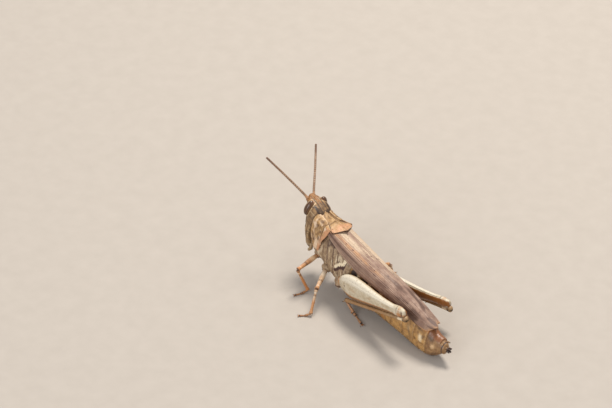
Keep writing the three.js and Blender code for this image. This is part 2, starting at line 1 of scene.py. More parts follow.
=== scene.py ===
# %% [markdown]
# # A field grasshopper, made at its own size
# The subject is a resting female short-horned field grasshopper. She is 21 mm long from brow to
# tail, stands on six feet with folded wings, and leans a little to her right. Her solid parts
# come packed from the workshop as a fixed frame. This lesson dresses that frame: each plain
# solid is replaced by a finer piece that stands in the same place.

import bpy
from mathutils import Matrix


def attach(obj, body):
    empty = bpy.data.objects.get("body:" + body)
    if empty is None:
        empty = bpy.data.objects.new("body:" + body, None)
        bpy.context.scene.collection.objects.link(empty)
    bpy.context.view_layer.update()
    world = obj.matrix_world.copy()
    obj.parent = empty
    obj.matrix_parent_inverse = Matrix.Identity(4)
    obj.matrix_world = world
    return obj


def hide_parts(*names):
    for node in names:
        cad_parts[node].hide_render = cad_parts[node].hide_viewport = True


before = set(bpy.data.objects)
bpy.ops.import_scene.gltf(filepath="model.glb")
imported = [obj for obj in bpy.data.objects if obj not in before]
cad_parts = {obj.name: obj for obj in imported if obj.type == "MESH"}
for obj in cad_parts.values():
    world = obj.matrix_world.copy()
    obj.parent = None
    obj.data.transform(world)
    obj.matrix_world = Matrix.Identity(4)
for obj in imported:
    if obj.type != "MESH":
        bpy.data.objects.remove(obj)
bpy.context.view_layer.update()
print("solids in the frame:", len(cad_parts))

# %% [markdown]
# ## A workbench in millimetres
# Blender's tools weld and measure badly on things as small as a foot of 0.2 mm. So every piece
# is made a thousand times too large, where one unit is a millimetre, and is set down at its
# true size at the end. The measures below are those of the solids: lengths run from a point on
# the floor near the tail, +X goes to the head and +Y to the insect's left.

# %% Tools and main measures
import math

import bpy
from mathutils import Matrix, Vector, noise

MILLIMETRE = 0.001
BOX_MIDDLE = Vector((10.45, 0.92, 0.0))
NECK_X = 17.0
WAIST_X = 11.3
TAIL_X = -1.3
WING_TIP_X = -0.42


def line_between(low, high, share):
    return low + (high - low) * share


def clamp(value, low=0.0, high=1.0):
    return max(low, min(high, value))


def ease(low, high, value):
    """0 below low, 1 above high and a soft step between them; low may be the larger."""
    share = clamp((value - low) / (high - low))
    return share * share * (3 - 2 * share)


def hill(value, middle, width):
    """1 at the middle, falling softly to 0 at about twice the width from it."""
    return math.exp(-(((value - middle) / width) ** 2))


def size_curve(*pairs):
    """A smooth curve of a size along the insect, through a few (place, size) pairs."""

    def slope(i):
        before, after = pairs[max(i - 1, 0)], pairs[min(i + 1, len(pairs) - 1)]
        return (after[1] - before[1]) / (after[0] - before[0])

    def size_at(place):
        after = next((i for i, pair in enumerate(pairs) if pair[0] >= place), len(pairs) - 1)
        after = max(after, 1)
        (x0, y0), (x1, y1) = pairs[after - 1], pairs[after]
        span = x1 - x0
        t = clamp((place - x0) / span)
        bend0, bend1 = slope(after - 1) * span, slope(after) * span
        a = 2 * y0 - 2 * y1 + bend0 + bend1
        b = 3 * y1 - 3 * y0 - 2 * bend0 - bend1
        return ((a * t + b) * t + bend0) * t + y0

    return size_at


# %% [markdown]
# ## The lean of the body
# She rests her weight on the right legs, so her trunk is rolled 12 degrees to that side about
# the line of her back. The trunk is drawn upright, where left and right are alike, and each
# finished point is rolled by one matrix.

# %% Roll the trunk about the line of the back
ROLL = math.radians(12)
BACK_HEIGHT = 3.5
BACK_SLOPE = 0.26
LEAN = (
    Matrix.Translation((0, 0, BACK_HEIGHT))
    @ Matrix.Rotation(ROLL, 4, Vector((1, 0, BACK_SLOPE)))
    @ Matrix.Translation((0, 0, -BACK_HEIGHT))
)


def on_body(x, y, z):
    return LEAN @ Vector((x, y, z))


print("back at the neck leans to", [round(c, 2) for c in on_body(NECK_X, 0, 7.4)])

# %% [markdown]
# ## Laying a sheet on a form
# Shell plates, wings and limbs are all skins that are wrapped round a form. Each could be
# extruded ring by ring, but the rings of an insect change shape all the time. It is easier to
# lay a flat grid on the form as paper is laid on a mould: the grid's own x and y tell where each
# point goes. Where the sheet meets itself its edge is welded, and ends that shrink to a
# point close by the same weld. The grid keeps its UV map, which later tells the finishes what
# is along and what is across. Each sheet also carries named masks, painted point by point.

# %% Lay, weld and paint sheets
WELD = 1e-4


def deselect():
    bpy.ops.object.select_all(action="DESELECT")


def take(piece):
    """Make a piece the only one selected, and the active one."""
    deselect()
    piece.select_set(True)
    bpy.context.view_layer.objects.active = piece


def weld(piece, outwards=True):
    take(piece)
    bpy.ops.object.mode_set(mode="EDIT")
    bpy.ops.mesh.select_all(action="SELECT")
    bpy.ops.mesh.remove_doubles(threshold=WELD)
    if outwards:
        bpy.ops.mesh.normals_make_consistent(inside=False)
    bpy.ops.object.mode_set(mode="OBJECT")
    bpy.ops.object.shade_smooth()


def laid_sheet(name, along, across, place, masks=None, closed=True):
    """A grid laid by place(u, v); masks is a dict of name: function(u, v, point)."""
    deselect()
    bpy.ops.mesh.primitive_grid_add(x_subdivisions=along, y_subdivisions=across, size=2)
    piece = bpy.context.object
    piece.name = name
    shares = [((v.co.x + 1) / 2, (v.co.y + 1) / 2) for v in piece.data.vertices]
    for vertex, (u, v) in zip(piece.data.vertices, shares):
        vertex.co = place(u, v)
    for mask, amount in (masks or {}).items():
        layer = piece.data.attributes.new(mask, "FLOAT", "POINT")
        values = [
            clamp(amount(u, v, vertex.co)) for vertex, (u, v) in zip(piece.data.vertices, shares)
        ]
        layer.data.foreach_set("value", values)
    weld(piece, outwards=closed)
    return piece


def face_away_from(piece, inside):
    """Turn an open sheet's normals so that they point away from a line inside the body."""
    facing = sum(
        (polygon.center - inside(polygon.center)).dot(polygon.normal) * polygon.area
        for polygon in piece.data.polygons
    )
    if facing < 0:
        take(piece)
        bpy.ops.object.mode_set(mode="EDIT")
        bpy.ops.mesh.select_all(action="SELECT")
        bpy.ops.mesh.flip_normals()
        bpy.ops.object.mode_set(mode="OBJECT")


def thicken(piece, thickness):
    take(piece)
    wall = piece.modifiers.new("wall", "SOLIDIFY")
    wall.thickness = thickness
    wall.offset = -1
    bpy.ops.object.modifier_apply(modifier=wall.name)


def join(name, pieces):
    """Join loose bits that grow from one another into one piece."""
    take(pieces[0])
    for piece in pieces:
        piece.select_set(True)
    if len(pieces) > 1:
        bpy.ops.object.join()
    pieces[0].name = name
    return pieces[0]


print("points nearer than", WELD, "mm are welded")


# %% [markdown]
# ## Setting a piece down
# A finished piece is brought from the bench to its true size and place. Its place goes into its
# mesh, it rides on the only body of this still model, and it stands for the plain solids that
# it was made from.

# %% Set a piece down on the frame
SET_DOWN = Matrix.Scale(MILLIMETRE, 4) @ Matrix.Translation(-BOX_MIDDLE)


def set_down(piece, finish, slot, *nodes):
    take(piece)
    bpy.ops.object.transform_apply(location=True, rotation=True, scale=True)
    piece.data.transform(SET_DOWN)
    piece.data.materials.clear()
    piece.data.materials.append(finish)
    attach(piece, "root")
    if nodes:
        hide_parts(*nodes)
    print(piece.name, "has", len(piece.data.polygons), "faces")
    return piece


print("the bench is set down from", [round(c, 2) for c in BOX_MIDDLE])


# %% [markdown]
# ## Finishes of a horny skin
# Insect shell is a tough varnish-like skin over pigment. Three things make it read as real at
# this size: cloudy mottling, fine pits and wrinkles that break the gloss, and the markings that
# belong to each plate. The first two are shared, so they are node groups that put out a cloud, a
# speck and a height. The markings are the painted masks, whose edges are roughened by noise.


# %% A group for clouds and specks, and a group for pits
def tint(red, green, blue):
    """A colour given as it looks on paper, 0 to 255, as the linear colour of a socket."""
    return tuple(((c / 255 + 0.055) / 1.055) ** 2.4 for c in (red, green, blue)) + (1.0,)


def new_group(name, inputs, outputs):
    group = bpy.data.node_groups.new(name, "ShaderNodeTree")
    for socket, kind, value in inputs:
        made = group.interface.new_socket(socket, in_out="INPUT", socket_type=kind)
        if value is not None:
            made.default_value = value
    for socket, kind in outputs:
        group.interface.new_socket(socket, in_out="OUTPUT", socket_type=kind)
    return group, group.nodes.new("NodeGroupInput"), group.nodes.new("NodeGroupOutput")


def math_node(nodes, links, operation, first, second=None, third=None):
    node = nodes.new("ShaderNodeMath")
    node.operation = operation
    for socket, value in zip(node.inputs, (first, second, third)):
        if value is None:
            continue
        if isinstance(value, (int, float)):
            socket.default_value = value
        else:
            links.new(value, socket)
    return node.outputs[0]


def range_node(nodes, links, value, low, high, to_low=0.0, to_high=1.0):
    node = nodes.new("ShaderNodeMapRange")
    node.interpolation_type = "SMOOTHSTEP"
    node.inputs["From Min"].default_value = low
    node.inputs["From Max"].default_value = high
    node.inputs["To Min"].default_value = to_low
    node.inputs["To Max"].default_value = to_high
    links.new(value, node.inputs["Value"])
    return node.outputs["Result"]


def mottling_group():
    group, start, end = new_group(
        "mottling",
        [("Place", "NodeSocketVector", None), ("Cloud size", "NodeSocketFloat", 1.0)],
        [("Cloud", "NodeSocketFloat"), ("Speck", "NodeSocketFloat"), ("Ragged", "NodeSocketFloat")],
    )
    nodes, links = group.nodes, group.links
    scale = math_node(nodes, links, "DIVIDE", 1.0, start.outputs["Cloud size"])
    cloud = nodes.new("ShaderNodeTexNoise")
    cloud.inputs["Detail"].default_value = 4
    cloud.inputs["Roughness"].default_value = 0.62
    links.new(start.outputs["Place"], cloud.inputs["Vector"])
    links.new(scale, cloud.inputs["Scale"])
    links.new(range_node(nodes, links, cloud.outputs[0], 0.36, 0.66), end.inputs["Cloud"])
    speck = nodes.new("ShaderNodeTexNoise")
    speck.inputs["Detail"].default_value = 2
    speck.inputs["Scale"].default_value = 9.0
    links.new(start.outputs["Place"], speck.inputs["Vector"])
    links.new(range_node(nodes, links, speck.outputs[0], 0.56, 0.7), end.inputs["Speck"])
    ragged = nodes.new("ShaderNodeTexNoise")
    ragged.inputs["Scale"].default_value = 5.0
    ragged.inputs["Detail"].default_value = 3
    links.new(start.outputs["Place"], ragged.inputs["Vector"])
    shifted = math_node(nodes, links, "SUBTRACT", ragged.outputs[0], 0.5)
    links.new(shifted, end.inputs["Ragged"])
    return group


def pits_group():
    group, start, end = new_group(
        "pits and wrinkles",
        [("Place", "NodeSocketVector", None), ("Pits per mm", "NodeSocketFloat", 9.0)],
        [("Height", "NodeSocketFloat")],
    )
    nodes, links = group.nodes, group.links
    pits = nodes.new("ShaderNodeTexVoronoi")
    links.new(start.outputs["Place"], pits.inputs["Vector"])
    links.new(start.outputs["Pits per mm"], pits.inputs["Scale"])
    dents = range_node(nodes, links, pits.outputs["Distance"], 0.05, 0.45)
    wrinkles = nodes.new("ShaderNodeTexNoise")
    wrinkles.inputs["Scale"].default_value = 14.0
    wrinkles.inputs["Detail"].default_value = 4
    links.new(start.outputs["Place"], wrinkles.inputs["Vector"])
    rough = math_node(nodes, links, "MULTIPLY", wrinkles.outputs[0], 0.5)
    links.new(math_node(nodes, links, "ADD", dents, rough), end.inputs["Height"])
    return group


MOTTLING = mottling_group()
PITS = pits_group()
print("shared groups:", MOTTLING.name, "and", PITS.name)

# %% [markdown]
# ## One recipe for all shell
# Every plate uses one recipe: a base colour clouded with a deeper one, then the piece's painted
# masks for dark, warm and pale marks, then specks, and pits in the bump. Each material is still its
# own, with its own colours and its own gloss, as the varnish on an eye, a thigh and a belly differ.


# %% The shell recipe
def colour_mix(nodes, links, share, below, above):
    node = nodes.new("ShaderNodeMix")
    node.data_type = "RGBA"
    links.new(share, node.inputs[0])
    for socket, colour in ((node.inputs[6], below), (node.inputs[7], above)):
        if isinstance(colour, tuple):
            socket.default_value = colour
        else:
            links.new(colour, socket)
    return node.outputs[2]


def new_finish(name, roughness, sheen_coat=0.0):
    finish = bpy.data.materials.new(name)
    finish.use_nodes = True
    nodes, links = finish.node_tree.nodes, finish.node_tree.links
    shader = nodes["Principled BSDF"]
    shader.inputs["Roughness"].default_value = roughness
    shader.inputs["Coat Weight"].default_value = sheen_coat
    shader.inputs["Coat Roughness"].default_value = 0.25
    shader.inputs["IOR"].default_value = 1.5
    coordinates = nodes.new("ShaderNodeTexCoord")
    in_mm = nodes.new("ShaderNodeMapping")
    in_mm.inputs["Scale"].default_value = (1 / MILLIMETRE,) * 3
    links.new(coordinates.outputs["Object"], in_mm.inputs["Vector"])
    return finish, nodes, links, shader, in_mm.outputs["Vector"]


def shell_finish(
    name, base, deep, dark, warm, pale, roughness=0.5, clouds=1.0, specks=0.35, pits=9.0,
    relief=0.02, coat=0.0,
):
    finish, nodes, links, shader, place = new_finish(name, roughness, coat)
    mottling = nodes.new("ShaderNodeGroup")
    mottling.node_tree = MOTTLING
    mottling.inputs["Cloud size"].default_value = clouds
    links.new(place, mottling.inputs["Place"])
    colour = colour_mix(nodes, links, mottling.outputs["Cloud"], tint(*base), tint(*deep))
    for mask, mark in (("warm", warm), ("pale", pale), ("dark", dark)):
        layer = nodes.new("ShaderNodeAttribute")
        layer.attribute_name = mask
        push = math_node(nodes, links, "MULTIPLY", mottling.outputs["Ragged"], 0.7)
        # The raggedness fades where the mask is empty, so that bare shell stays bare.
        push = math_node(nodes, links, "MULTIPLY", push, layer.outputs["Fac"])
        ragged = math_node(nodes, links, "ADD", layer.outputs["Fac"], push)
        colour = colour_mix(
            nodes, links, range_node(nodes, links, ragged, 0.12, 0.78), colour, tint(*mark)
        )
    specked = math_node(nodes, links, "MULTIPLY", mottling.outputs["Speck"], specks)
    colour = colour_mix(nodes, links, specked, colour, tint(*dark))
    links.new(colour, shader.inputs["Base Color"])
    gloss = range_node(
        nodes, links, mottling.outputs["Cloud"], 0, 1, roughness - 0.08, roughness + 0.1
    )
    links.new(gloss, shader.inputs["Roughness"])
    dents = nodes.new("ShaderNodeGroup")
    dents.node_tree = PITS
    dents.inputs["Pits per mm"].default_value = pits
    links.new(place, dents.inputs["Place"])
    bump = nodes.new("ShaderNodeBump")
    bump.inputs["Strength"].default_value = 0.6
    bump.inputs["Distance"].default_value = relief * MILLIMETRE
    links.new(dents.outputs["Height"], bump.inputs["Height"])
    links.new(bump.outputs["Normal"], shader.inputs["Normal"])
    return finish


# %% Shells of the head, the jaws and the feelers
HEAD_SHELL = shell_finish(
    "mottled head shell", (148, 114, 74), (108, 80, 50), (56, 38, 25), (150, 104, 58),
    (188, 160, 120), roughness=0.5, clouds=0.4, specks=0.65, pits=8, relief=0.035,
)
JAW_SHELL = shell_finish(
    "olive jaw shell", (148, 118, 80), (114, 88, 58), (58, 40, 27), (144, 98, 58),
    (184, 158, 122), roughness=0.42, clouds=0.6,
)
FEELER_SHELL = shell_finish(
    "ringed feeler shell", (160, 130, 103), (130, 98, 72), (88, 60, 44), (168, 124, 86),
    (206, 180, 150), roughness=0.5, clouds=0.8, specks=0.2, relief=0.008,
)
print("finishes so far:", HEAD_SHELL.name, JAW_SHELL.name, FEELER_SHELL.name, sep=", ")

# %% [markdown]
# ## The head
# Seen from the side the head is a wedge: the crown slopes up and forward to a blunt point between
# the feelers, and the face falls back from there to the mouth. It is drawn in its own slope,
# by how far forward, how far to the side and how far up each point lies from the back of the
# crown. Level rings run from the mouth to the crown. Ridges and furrows are small hills
# added to the same function, so that they flow with the form: the ridge of the face, the rims
# round each eye and each feeler's root, the furrow under the eye and the hollow in the point of
# the crown.

# %% Head measures
HEAD_PITCH = math.radians(24)
BACK_OF_CROWN = (16.94, 7.41)
HEAD_DEPTH = 3.3
FACE_DEPTH = 4.6  # just past the lip's edge, where the curves below begin
CROWN_RISE = 0.16
EYE = Vector((18.26, 0.91, 7.42))
EYE_RADII = (0.42, 0.38, 0.83)
EYE_TURN = -0.145
EYE_ROLL = 0.21

face_front = size_curve(
    (-FACE_DEPTH, -0.7), (-4.1, -0.3), (-3.2, 0.28), (-2, 1.05), (-1, 1.68), (-0.35, 2.2),
    (0, 2.4), (CROWN_RISE, 1.9),
)
head_back = size_curve(
    (-FACE_DEPTH, -1.25), (-4.1, -1.3), (-3.2, -1.2), (-2, -0.95), (-1, -0.7), (-0.3, -0.45),
    (0, -0.2), (CROWN_RISE, 0.4),
)
head_half_width = size_curve(
    (-FACE_DEPTH, 0.4), (-4.1, 0.78), (-3.2, 1.22), (-2.2, 1.48), (-1.2, 1.38), (-0.4, 1.22),
    (0, 0.9), (CROWN_RISE, 0.52),
)


def head_point(forward, side, up):
    """A point of the upright trunk from the head's own slope."""
    cos, sin = math.cos(HEAD_PITCH), math.sin(HEAD_PITCH)
    back_x, back_z = BACK_OF_CROWN
    return Vector((back_x + forward * cos - up * sin, side, back_z + forward * sin + up * cos))


def eye_turned(side):
    """How an eye is turned: its upper end leans back and in to the crown."""
    return Matrix.Rotation(EYE_TURN, 3, "Y") @ Matrix.Rotation(side * EYE_ROLL, 3, "X")


def eye_distance(point):
    """How far a point of the upright trunk is from the nearer eye, where 1 is its outline."""
    away = eye_turned(1).inverted() @ (Vector((point.x, abs(point.y), point.z)) - EYE)
    inward = min(away.y + 0.2, 0.0) / 0.45
    return math.sqrt((away.x / EYE_RADII[0]) ** 2 + (away.z / EYE_RADII[2]) ** 2 + inward**2)


FEELER_BASE = (18.95, 0.45, 7.75)


def feeler_distance(point):
    """How far a point of the upright trunk is from the root of the nearer feeler."""
    return (Vector((point.x, abs(point.y), point.z)) - Vector(FEELER_BASE)).length


print("eye stands", round(EYE.z, 2), "mm above the floor")

# %% Skin of the head
HEAD_ROWS, HEAD_COLUMNS = 96, 104
CROWN_SHARE = 0.9  # the share of the sheet's rows that lies below the crown's own patch
ROW_SPREAD = 0.8


def head_skin(u, v):
    """u goes round the head from the nape, v from the mouth up to the crown."""
    angle = 2 * math.pi * (u - 0.5)
    rise = clamp(v / CROWN_SHARE)
    closing = clamp((1 - v) / (1 - CROWN_SHARE))
    up = line_between(-HEAD_DEPTH, CROWN_RISE, rise**ROW_SPREAD)
    front, back, half = face_front(up), head_back(up), head_half_width(up)
    pinch = line_between(0.42, 0.2, clamp(-up / FACE_DEPTH))
    scale = closing if v > CROWN_SHARE else clamp(v / 0.03)
    forward = (front + back) / 2 + (front - back) / 2 * math.cos(angle) * scale
    side = half * math.sin(angle) * (1 - pinch * math.cos(angle)) * scale
    flat = head_point(forward, side, up)
    low = ease(-3.3, -2.9, up) * ease(0.05, -0.3, up)
    ridge = ease(0.36, 0.24, abs(side)) * 0.14 - ease(0.17, 0.07, abs(side)) * 0.09
    ridge += hill(abs(side) + 0.13 * (up + 1), 0.7, 0.07) * 0.1
    furrow = hill(abs(angle) - 0.4 * (up + 1.6), 1.15, 0.05) * ease(-1.4, -1.9, up) * 0.1
    brow = hill(eye_distance(flat), 1.13, 0.13) * 0.05
    brow += hill(feeler_distance(flat), 0.27, 0.07) * 0.07
    nape = hill(abs(angle), 2.35, 0.12) * 0.04 * low
    in_front = ease(0.2, 0.7, math.cos(angle))
    swell = (ridge * in_front - furrow - nape) * low + brow
    forward += swell * math.cos(angle) * scale
    side += swell * math.sin(angle) * scale
    crown = hill(side, 0, 0.05) * 0.03 * ease(2.0, 0.6, forward)
    crown -= hill(math.hypot((forward - 1.8) / 0.45, side / 0.26), 0, 0.8) * 0.1
    crown -= hill(math.hypot((forward - 2.0) / 0.3, (abs(side) - 0.42) / 0.1), 0, 0.8) * 0.05
    up += crown * ease(-0.1, 0.1, up)
    return on_body(*head_point(forward, side, up))


# %% Marks on the head
def head_place(point):
    """Forward, side and up in the head's slope, from a point of the leaning trunk."""
    x, y, z = LEAN.inverted() @ point
    cos, sin = math.cos(HEAD_PITCH), math.sin(HEAD_PITCH)
    dx, dz = x - BACK_OF_CROWN[0], z - BACK_OF_CROWN[1]
    return dx * cos + dz * sin, y, -dx * sin + dz * cos


def head_dark(u, v, point):
    forward, side, up = head_place(point)
    fine = 0.5 + 1.2 * noise.noise(Vector((forward * 1.1, side * 8.0, up * 6.0)))
    behind_eye = hill(up, -0.72, 0.2) * ease(0.95, 0.4, forward) * ease(-0.2, 0.4, fine) * 0.45
    under_eye = hill(up + 0.55 * forward, -1.25, 0.16) * hill(up, -2.0, 0.6) * 0.5
    on_top = ease(-0.45, -0.05, up)
    streaks = hill(abs(side), 0.36, 0.09) * ease(2.2, 1.5, forward) * 0.7
    sides = hill(abs(side), 0.78, 0.16) * ease(1.3, 0.6, forward) * 0.9
    grain = 0.5 * ease(-0.1, 0.35, noise.noise(Vector((forward * 1.6, side * 7.0, 4.0))))
    # The nape is painted shadow, where the saddle's front edge hangs over the back of the head.
    nape = ease(0.35, -0.1, forward) * ease(-1.2, -0.4, up) * 0.6
    cheek = ease(-1.0, -1.6, up) * sum(
        hill(forward - 0.3 * (up + 2.0), at, 0.08) * 0.5 for at in (-0.62, -0.2, 0.22, 0.68)
    )
    cheek = max(cheek, 0.45 * ease(0.5, 1.0, fine) * ease(-0.9, -1.4, up))
    face = hill(abs(side), 0.42, 0.06) * ease(1.0, 1.4, forward) * ease(-0.6, -1.0, up) * 0.6
    crown = max(streaks, sides, grain) * on_top
    return max(behind_eye, under_eye, crown, nape, cheek, face)


def head_pale(u, v, point):
    forward, side, up = head_place(point)
    rim = hill(eye_distance(LEAN.inverted() @ point), 1.12, 0.12) * 0.85
    behind = hill(up, -0.34, 0.08) * ease(1.2, 0.7, forward) * 0.5
    socket = hill(forward, 1.95, 0.22) * hill(abs(side), 0.62, 0.12) * ease(-0.2, -0.5, up) * 0.9
    cheek = ease(-1.2, -1.8, up) * sum(
        hill(forward - 0.3 * (up + 2.0), at, 0.12) * 0.55 for at in (-0.42, 0.0, 0.45)
    )
    return max(rim, behind, socket, cheek)


def head_warm(u, v, point):
    forward, side, up = head_place(point)
    crown = ease(0.4, 1.4, forward) * ease(-0.6, -0.05, up) * 0.85
    return max(crown, ease(-2.6, -3.3, up) * 0.5)


# %% Lay the head
head = laid_sheet(
    "head_skin", HEAD_COLUMNS, HEAD_ROWS, head_skin,
    {"dark": head_dark, "pale": head_pale, "warm": head_warm},
)
set_down(head, HEAD_SHELL, "crown_shell", "head")

# %% [markdown]
# ## The simple eyes
# Besides her two great eyes she has three simple ones, the ocelli: one amber bead in the middle
# of the face, and one at each side just inside the great eye. They could be bumps in the head's
# skin, but beads with a finish of their own keep their clear gloss. Each is a ball whose middle
# lies on the skin. That place is found by walking along the skin, from the middle of the face,
# until it is as far to the side as the bead has to be.

# %% Ocelli
OCELLUS_RADIUS = 0.095
OCELLI = ((0.0, -1.05), (0.52, -0.42), (-0.52, -0.42))  # to the side and up, on the face
FACE_STEPS = 100


def place_on_face(side, up):
    """The place on the front of the head's skin that is so far to the side and so far up."""
    rise = ((up + HEAD_DEPTH) / (CROWN_RISE + HEAD_DEPTH)) ** (1 / ROW_SPREAD)
    turn = math.copysign(0.25, side) / FACE_STEPS
    places = [head_skin(0.5 + turn * i, CROWN_SHARE * rise) for i in range(FACE_STEPS + 1)]
    return min(places, key=lambda place: abs(head_place(place)[1] - side))


def ocellus_finish():
    finish, nodes, links, shader, place = new_finish("amber ocellus", 0.15, 0.5)
    cloud = nodes.new("ShaderNodeTexNoise")
    cloud.inputs["Scale"].default_value = 6.0
    links.new(place, cloud.inputs["Vector"])
    colour = colour_mix(nodes, links, cloud.outputs[0], tint(120, 74, 34), tint(206, 164, 104))
    links.new(colour, shader.inputs["Base Color"])
    return finish


beads = []
for side, up in OCELLI:
    deselect()
    bpy.ops.mesh.primitive_uv_sphere_add(
        segments=24, ring_count=14, radius=OCELLUS_RADIUS, location=place_on_face(side, up)
    )
    bpy.ops.object.shade_smooth()
    beads.append(bpy.context.object)
set_down(join("ocelli", beads), ocellus_finish(), "eye_shell")

# %% [markdown]
# ## The mouthparts
# Under the face hangs an upper lip in two plates, with a blunt jaw at each side and two pairs of
# little feelers, the palps, behind them. Lip and jaws keep one skin with furrows between them,
# as they shut tight at rest. The palps are jointed rods, each joint a little club.

# %% Lip and jaws
MOUTH_DEPTH = 4.55


def mouth_skin(u, v):
    angle = 2 * math.pi * (u - 0.5)
    up = line_between(-MOUTH_DEPTH, -HEAD_DEPTH + 0.1, v)
    scale = clamp(v / 0.12) ** 0.5 if v < 0.12 else clamp((1 - v) / 0.05)
    half = head_half_width(up) * 0.98
    front, back = face_front(up), head_back(up)
    swell = -0.09 * hill(up, -3.75, 0.05) * ease(0.2, 0.6, math.cos(angle))
    swell -= 0.1 * hill(abs(angle), 0.85, 0.07)
    swell -= 0.05 * hill(angle, 0, 0.05) * ease(-4.2, -4.5, up)
    swell += 0.08 * hill(abs(angle), 1.5, 0.35) * hill(up, -3.9, 0.35)
    forward = (front + back) / 2 + ((front - back) / 2 + swell) * math.cos(angle) * scale
    side = (half * (1 - 0.22 * math.cos(angle)) + swell) * math.sin(angle) * scale
    return on_body(*head_point(forward, side, up))


def mouth_dark(u, v, point):
    angle = 2 * math.pi * (u - 0.5)
    # The seams are painted shade in the furrows between lip and jaws.
    seams = max(hill(abs(angle), 0.85, 0.09), hill(v, 0.66, 0.04) * ease(1.0, 0.7, abs(angle)))
    return max(seams, ease(0.3, 0.02, v))


mouth = laid_sheet(
    "lip_and_jaws", 72, 40, mouth_skin,
    {"dark": mouth_dark, "pale": lambda u, v, p: hill(v, 0.5, 0.2) * 0.5},
)
set_down(mouth, JAW_SHELL, "jaw_shell", "mouthparts")

# %% [markdown]
# ## Limbs, feelers and palps
# A limb is a rod whose thickness changes along it. A small helper lays a sheet round a smooth
# path through a few joints. `swell` gives the radius by the share of the way, and its ends
# go to nothing, so that the weld closes them.


# %% Lay a sheet round a path
def curve_between(before, start, end, after, t):
    """A Catmull-Rom curve from start to end, of numbers or of vectors."""
    square = 2 * before - 5 * start + 4 * end - after
    cube = 3 * start - before - 3 * end + after
    return 0.5 * (2 * start + (end - before) * t + square * t * t + cube * t**3)


def smooth_path(points):
    """A smooth path through the points, as a function of the share of the way."""
    spans = len(points) - 1
    lengths = [(b - a).length for a, b in zip(points, points[1:])]
    total = sum(lengths)

    def at(share):
        distance = clamp(share) * total
        i = 0
        while i < spans - 1 and distance > lengths[i]:
            distance -= lengths[i]
            i += 1
        t = clamp(distance / lengths[i])
        p1, p2 = points[i], points[i + 1]
        p0 = points[i - 1] if i > 0 else p1 * 2 - p2
        p3 = points[i + 2] if i + 2 <= spans else p2 * 2 - p1
        return curve_between(p0, p1, p2, p3, t)

    return at


def frame_on(path, share, up):
    """The path's direction there, and two directions across it, the second nearest to up."""
    forward = (path(min(share + 0.005, 1)) - path(max(share - 0.005, 0))).normalized()
    side = forward.cross(up).normalized()
    return forward, side, side.cross(forward)


def rod_skin(points, swell, up=Vector((0, 0, 1)), flatten=1.0):
    """swell(share, angle) is the radius; flatten squeezes the rod across."""
    path = smooth_path(points)

    def place(u, v):
        angle = 2 * math.pi * v
        _, side, top = frame_on(path, u, up)
        radius = swell(u, angle)
        return path(u) + (side * math.cos(angle) * flatten + top * math.sin(angle)) * radius

    return place


def dome(share, length):
    """Rounds off both ends of a rod: 0 at the ends, 1 from a short length on."""
    edge = min(share, 1 - share) / length
    return math.sqrt(clamp(edge * (2 - edge))) if edge < 1 else 1.0


print("a dome a tenth long is", round(dome(0.05, 0.1), 2), "high half way up")


# %% Palps
def palp_swell(share, angle):
    joints = 0.8 + 0.35 * abs(math.sin(share * math.pi * 3)) ** 0.6
    return 0.15 * joints * dome(share, 0.06)


for name, side in (("left", 1), ("right", -1)):
    long_palp = [
        on_body(*head_point(*p)) for p in
        ((-1.2, side * 0.8, -3.4), (-1.5, side * 0.95, -3.85), (-1.4, side * 0.8, -4.4))
    ]
    short_palp = [
        on_body(*head_point(*p)) for p in
        ((-1.2, side * 0.4, -4.0), (-1.35, side * 0.45, -4.4), (-1.2, side * 0.4, -4.7))
    ]
    rods = [
        laid_sheet("palp", 40, 14, rod_skin(points, palp_swell),
                   {"dark": lambda u, v, p: ease(0.85, 1, u), "pale": lambda u, v, p: 0.4})
        for points in (long_palp, short_palp)
    ]
    set_down(join(name + "_palps", rods), JAW_SHELL, "jaw_shell", "palp_" + name)

# %% [markdown]
# ## The eyes
# A grasshopper's eye is a tall egg of a few thousand facets under a clear glossy skin, brown with
# darker upright streaks. It starts as a ball, is squeezed to the egg, turned a little so that
# its lower end stands forward, and rolled with the body. The facets are far finer than
# any mesh, so they are a bump, and the streaks follow the ball's own UV map. A raised pale ring
# sits round it on the head.

# %% Eye finish
def eye_finish():
    finish, nodes, links, shader, place = new_finish("streaked eye", 0.36, 0.3)
    shader.inputs["Coat Roughness"].default_value = 0.1
    around = nodes.new("ShaderNodeUVMap")
    around.uv_map = "UVMap"
    stretch = nodes.new("ShaderNodeMapping")
    stretch.inputs["Scale"].default_value = (26.0, 1.6, 1.0)
    links.new(around.outputs["UV"], stretch.inputs["Vector"])
    streaks = nodes.new("ShaderNodeTexNoise")
    streaks.inputs["Scale"].default_value = 1.0
    streaks.inputs["Detail"].default_value = 2
    links.new(stretch.outputs["Vector"], streaks.inputs["Vector"])
    share = range_node(nodes, links, streaks.outputs[0], 0.42, 0.6)
    colour = colour_mix(nodes, links, share, tint(58, 34, 18), tint(108, 70, 38))
    # The pale mask of an eye carries a painted highlight, a band across its upper front.
    layer = nodes.new("ShaderNodeAttribute")
    layer.attribute_name = "pale"
    colour = colour_mix(nodes, links, layer.outputs["Fac"], colour, tint(196, 164, 126))
    links.new(colour, shader.inputs["Base Color"])
    facets = nodes.new("ShaderNodeTexVoronoi")
    facets.inputs["Scale"].default_value = 36.0
    links.new(place, facets.inputs["Vector"])
    bump = nodes.new("ShaderNodeBump")
    bump.inputs["Strength"].default_value = 0.25
    bump.inputs["Distance"].default_value = 0.006 * MILLIMETRE
    bump.invert = True
    links.new(facets.outputs["Distance"], bump.inputs["Height"])
    links.new(bump.outputs["Normal"], shader.inputs["Normal"])
    return finish


EYE_FINISH = eye_finish()

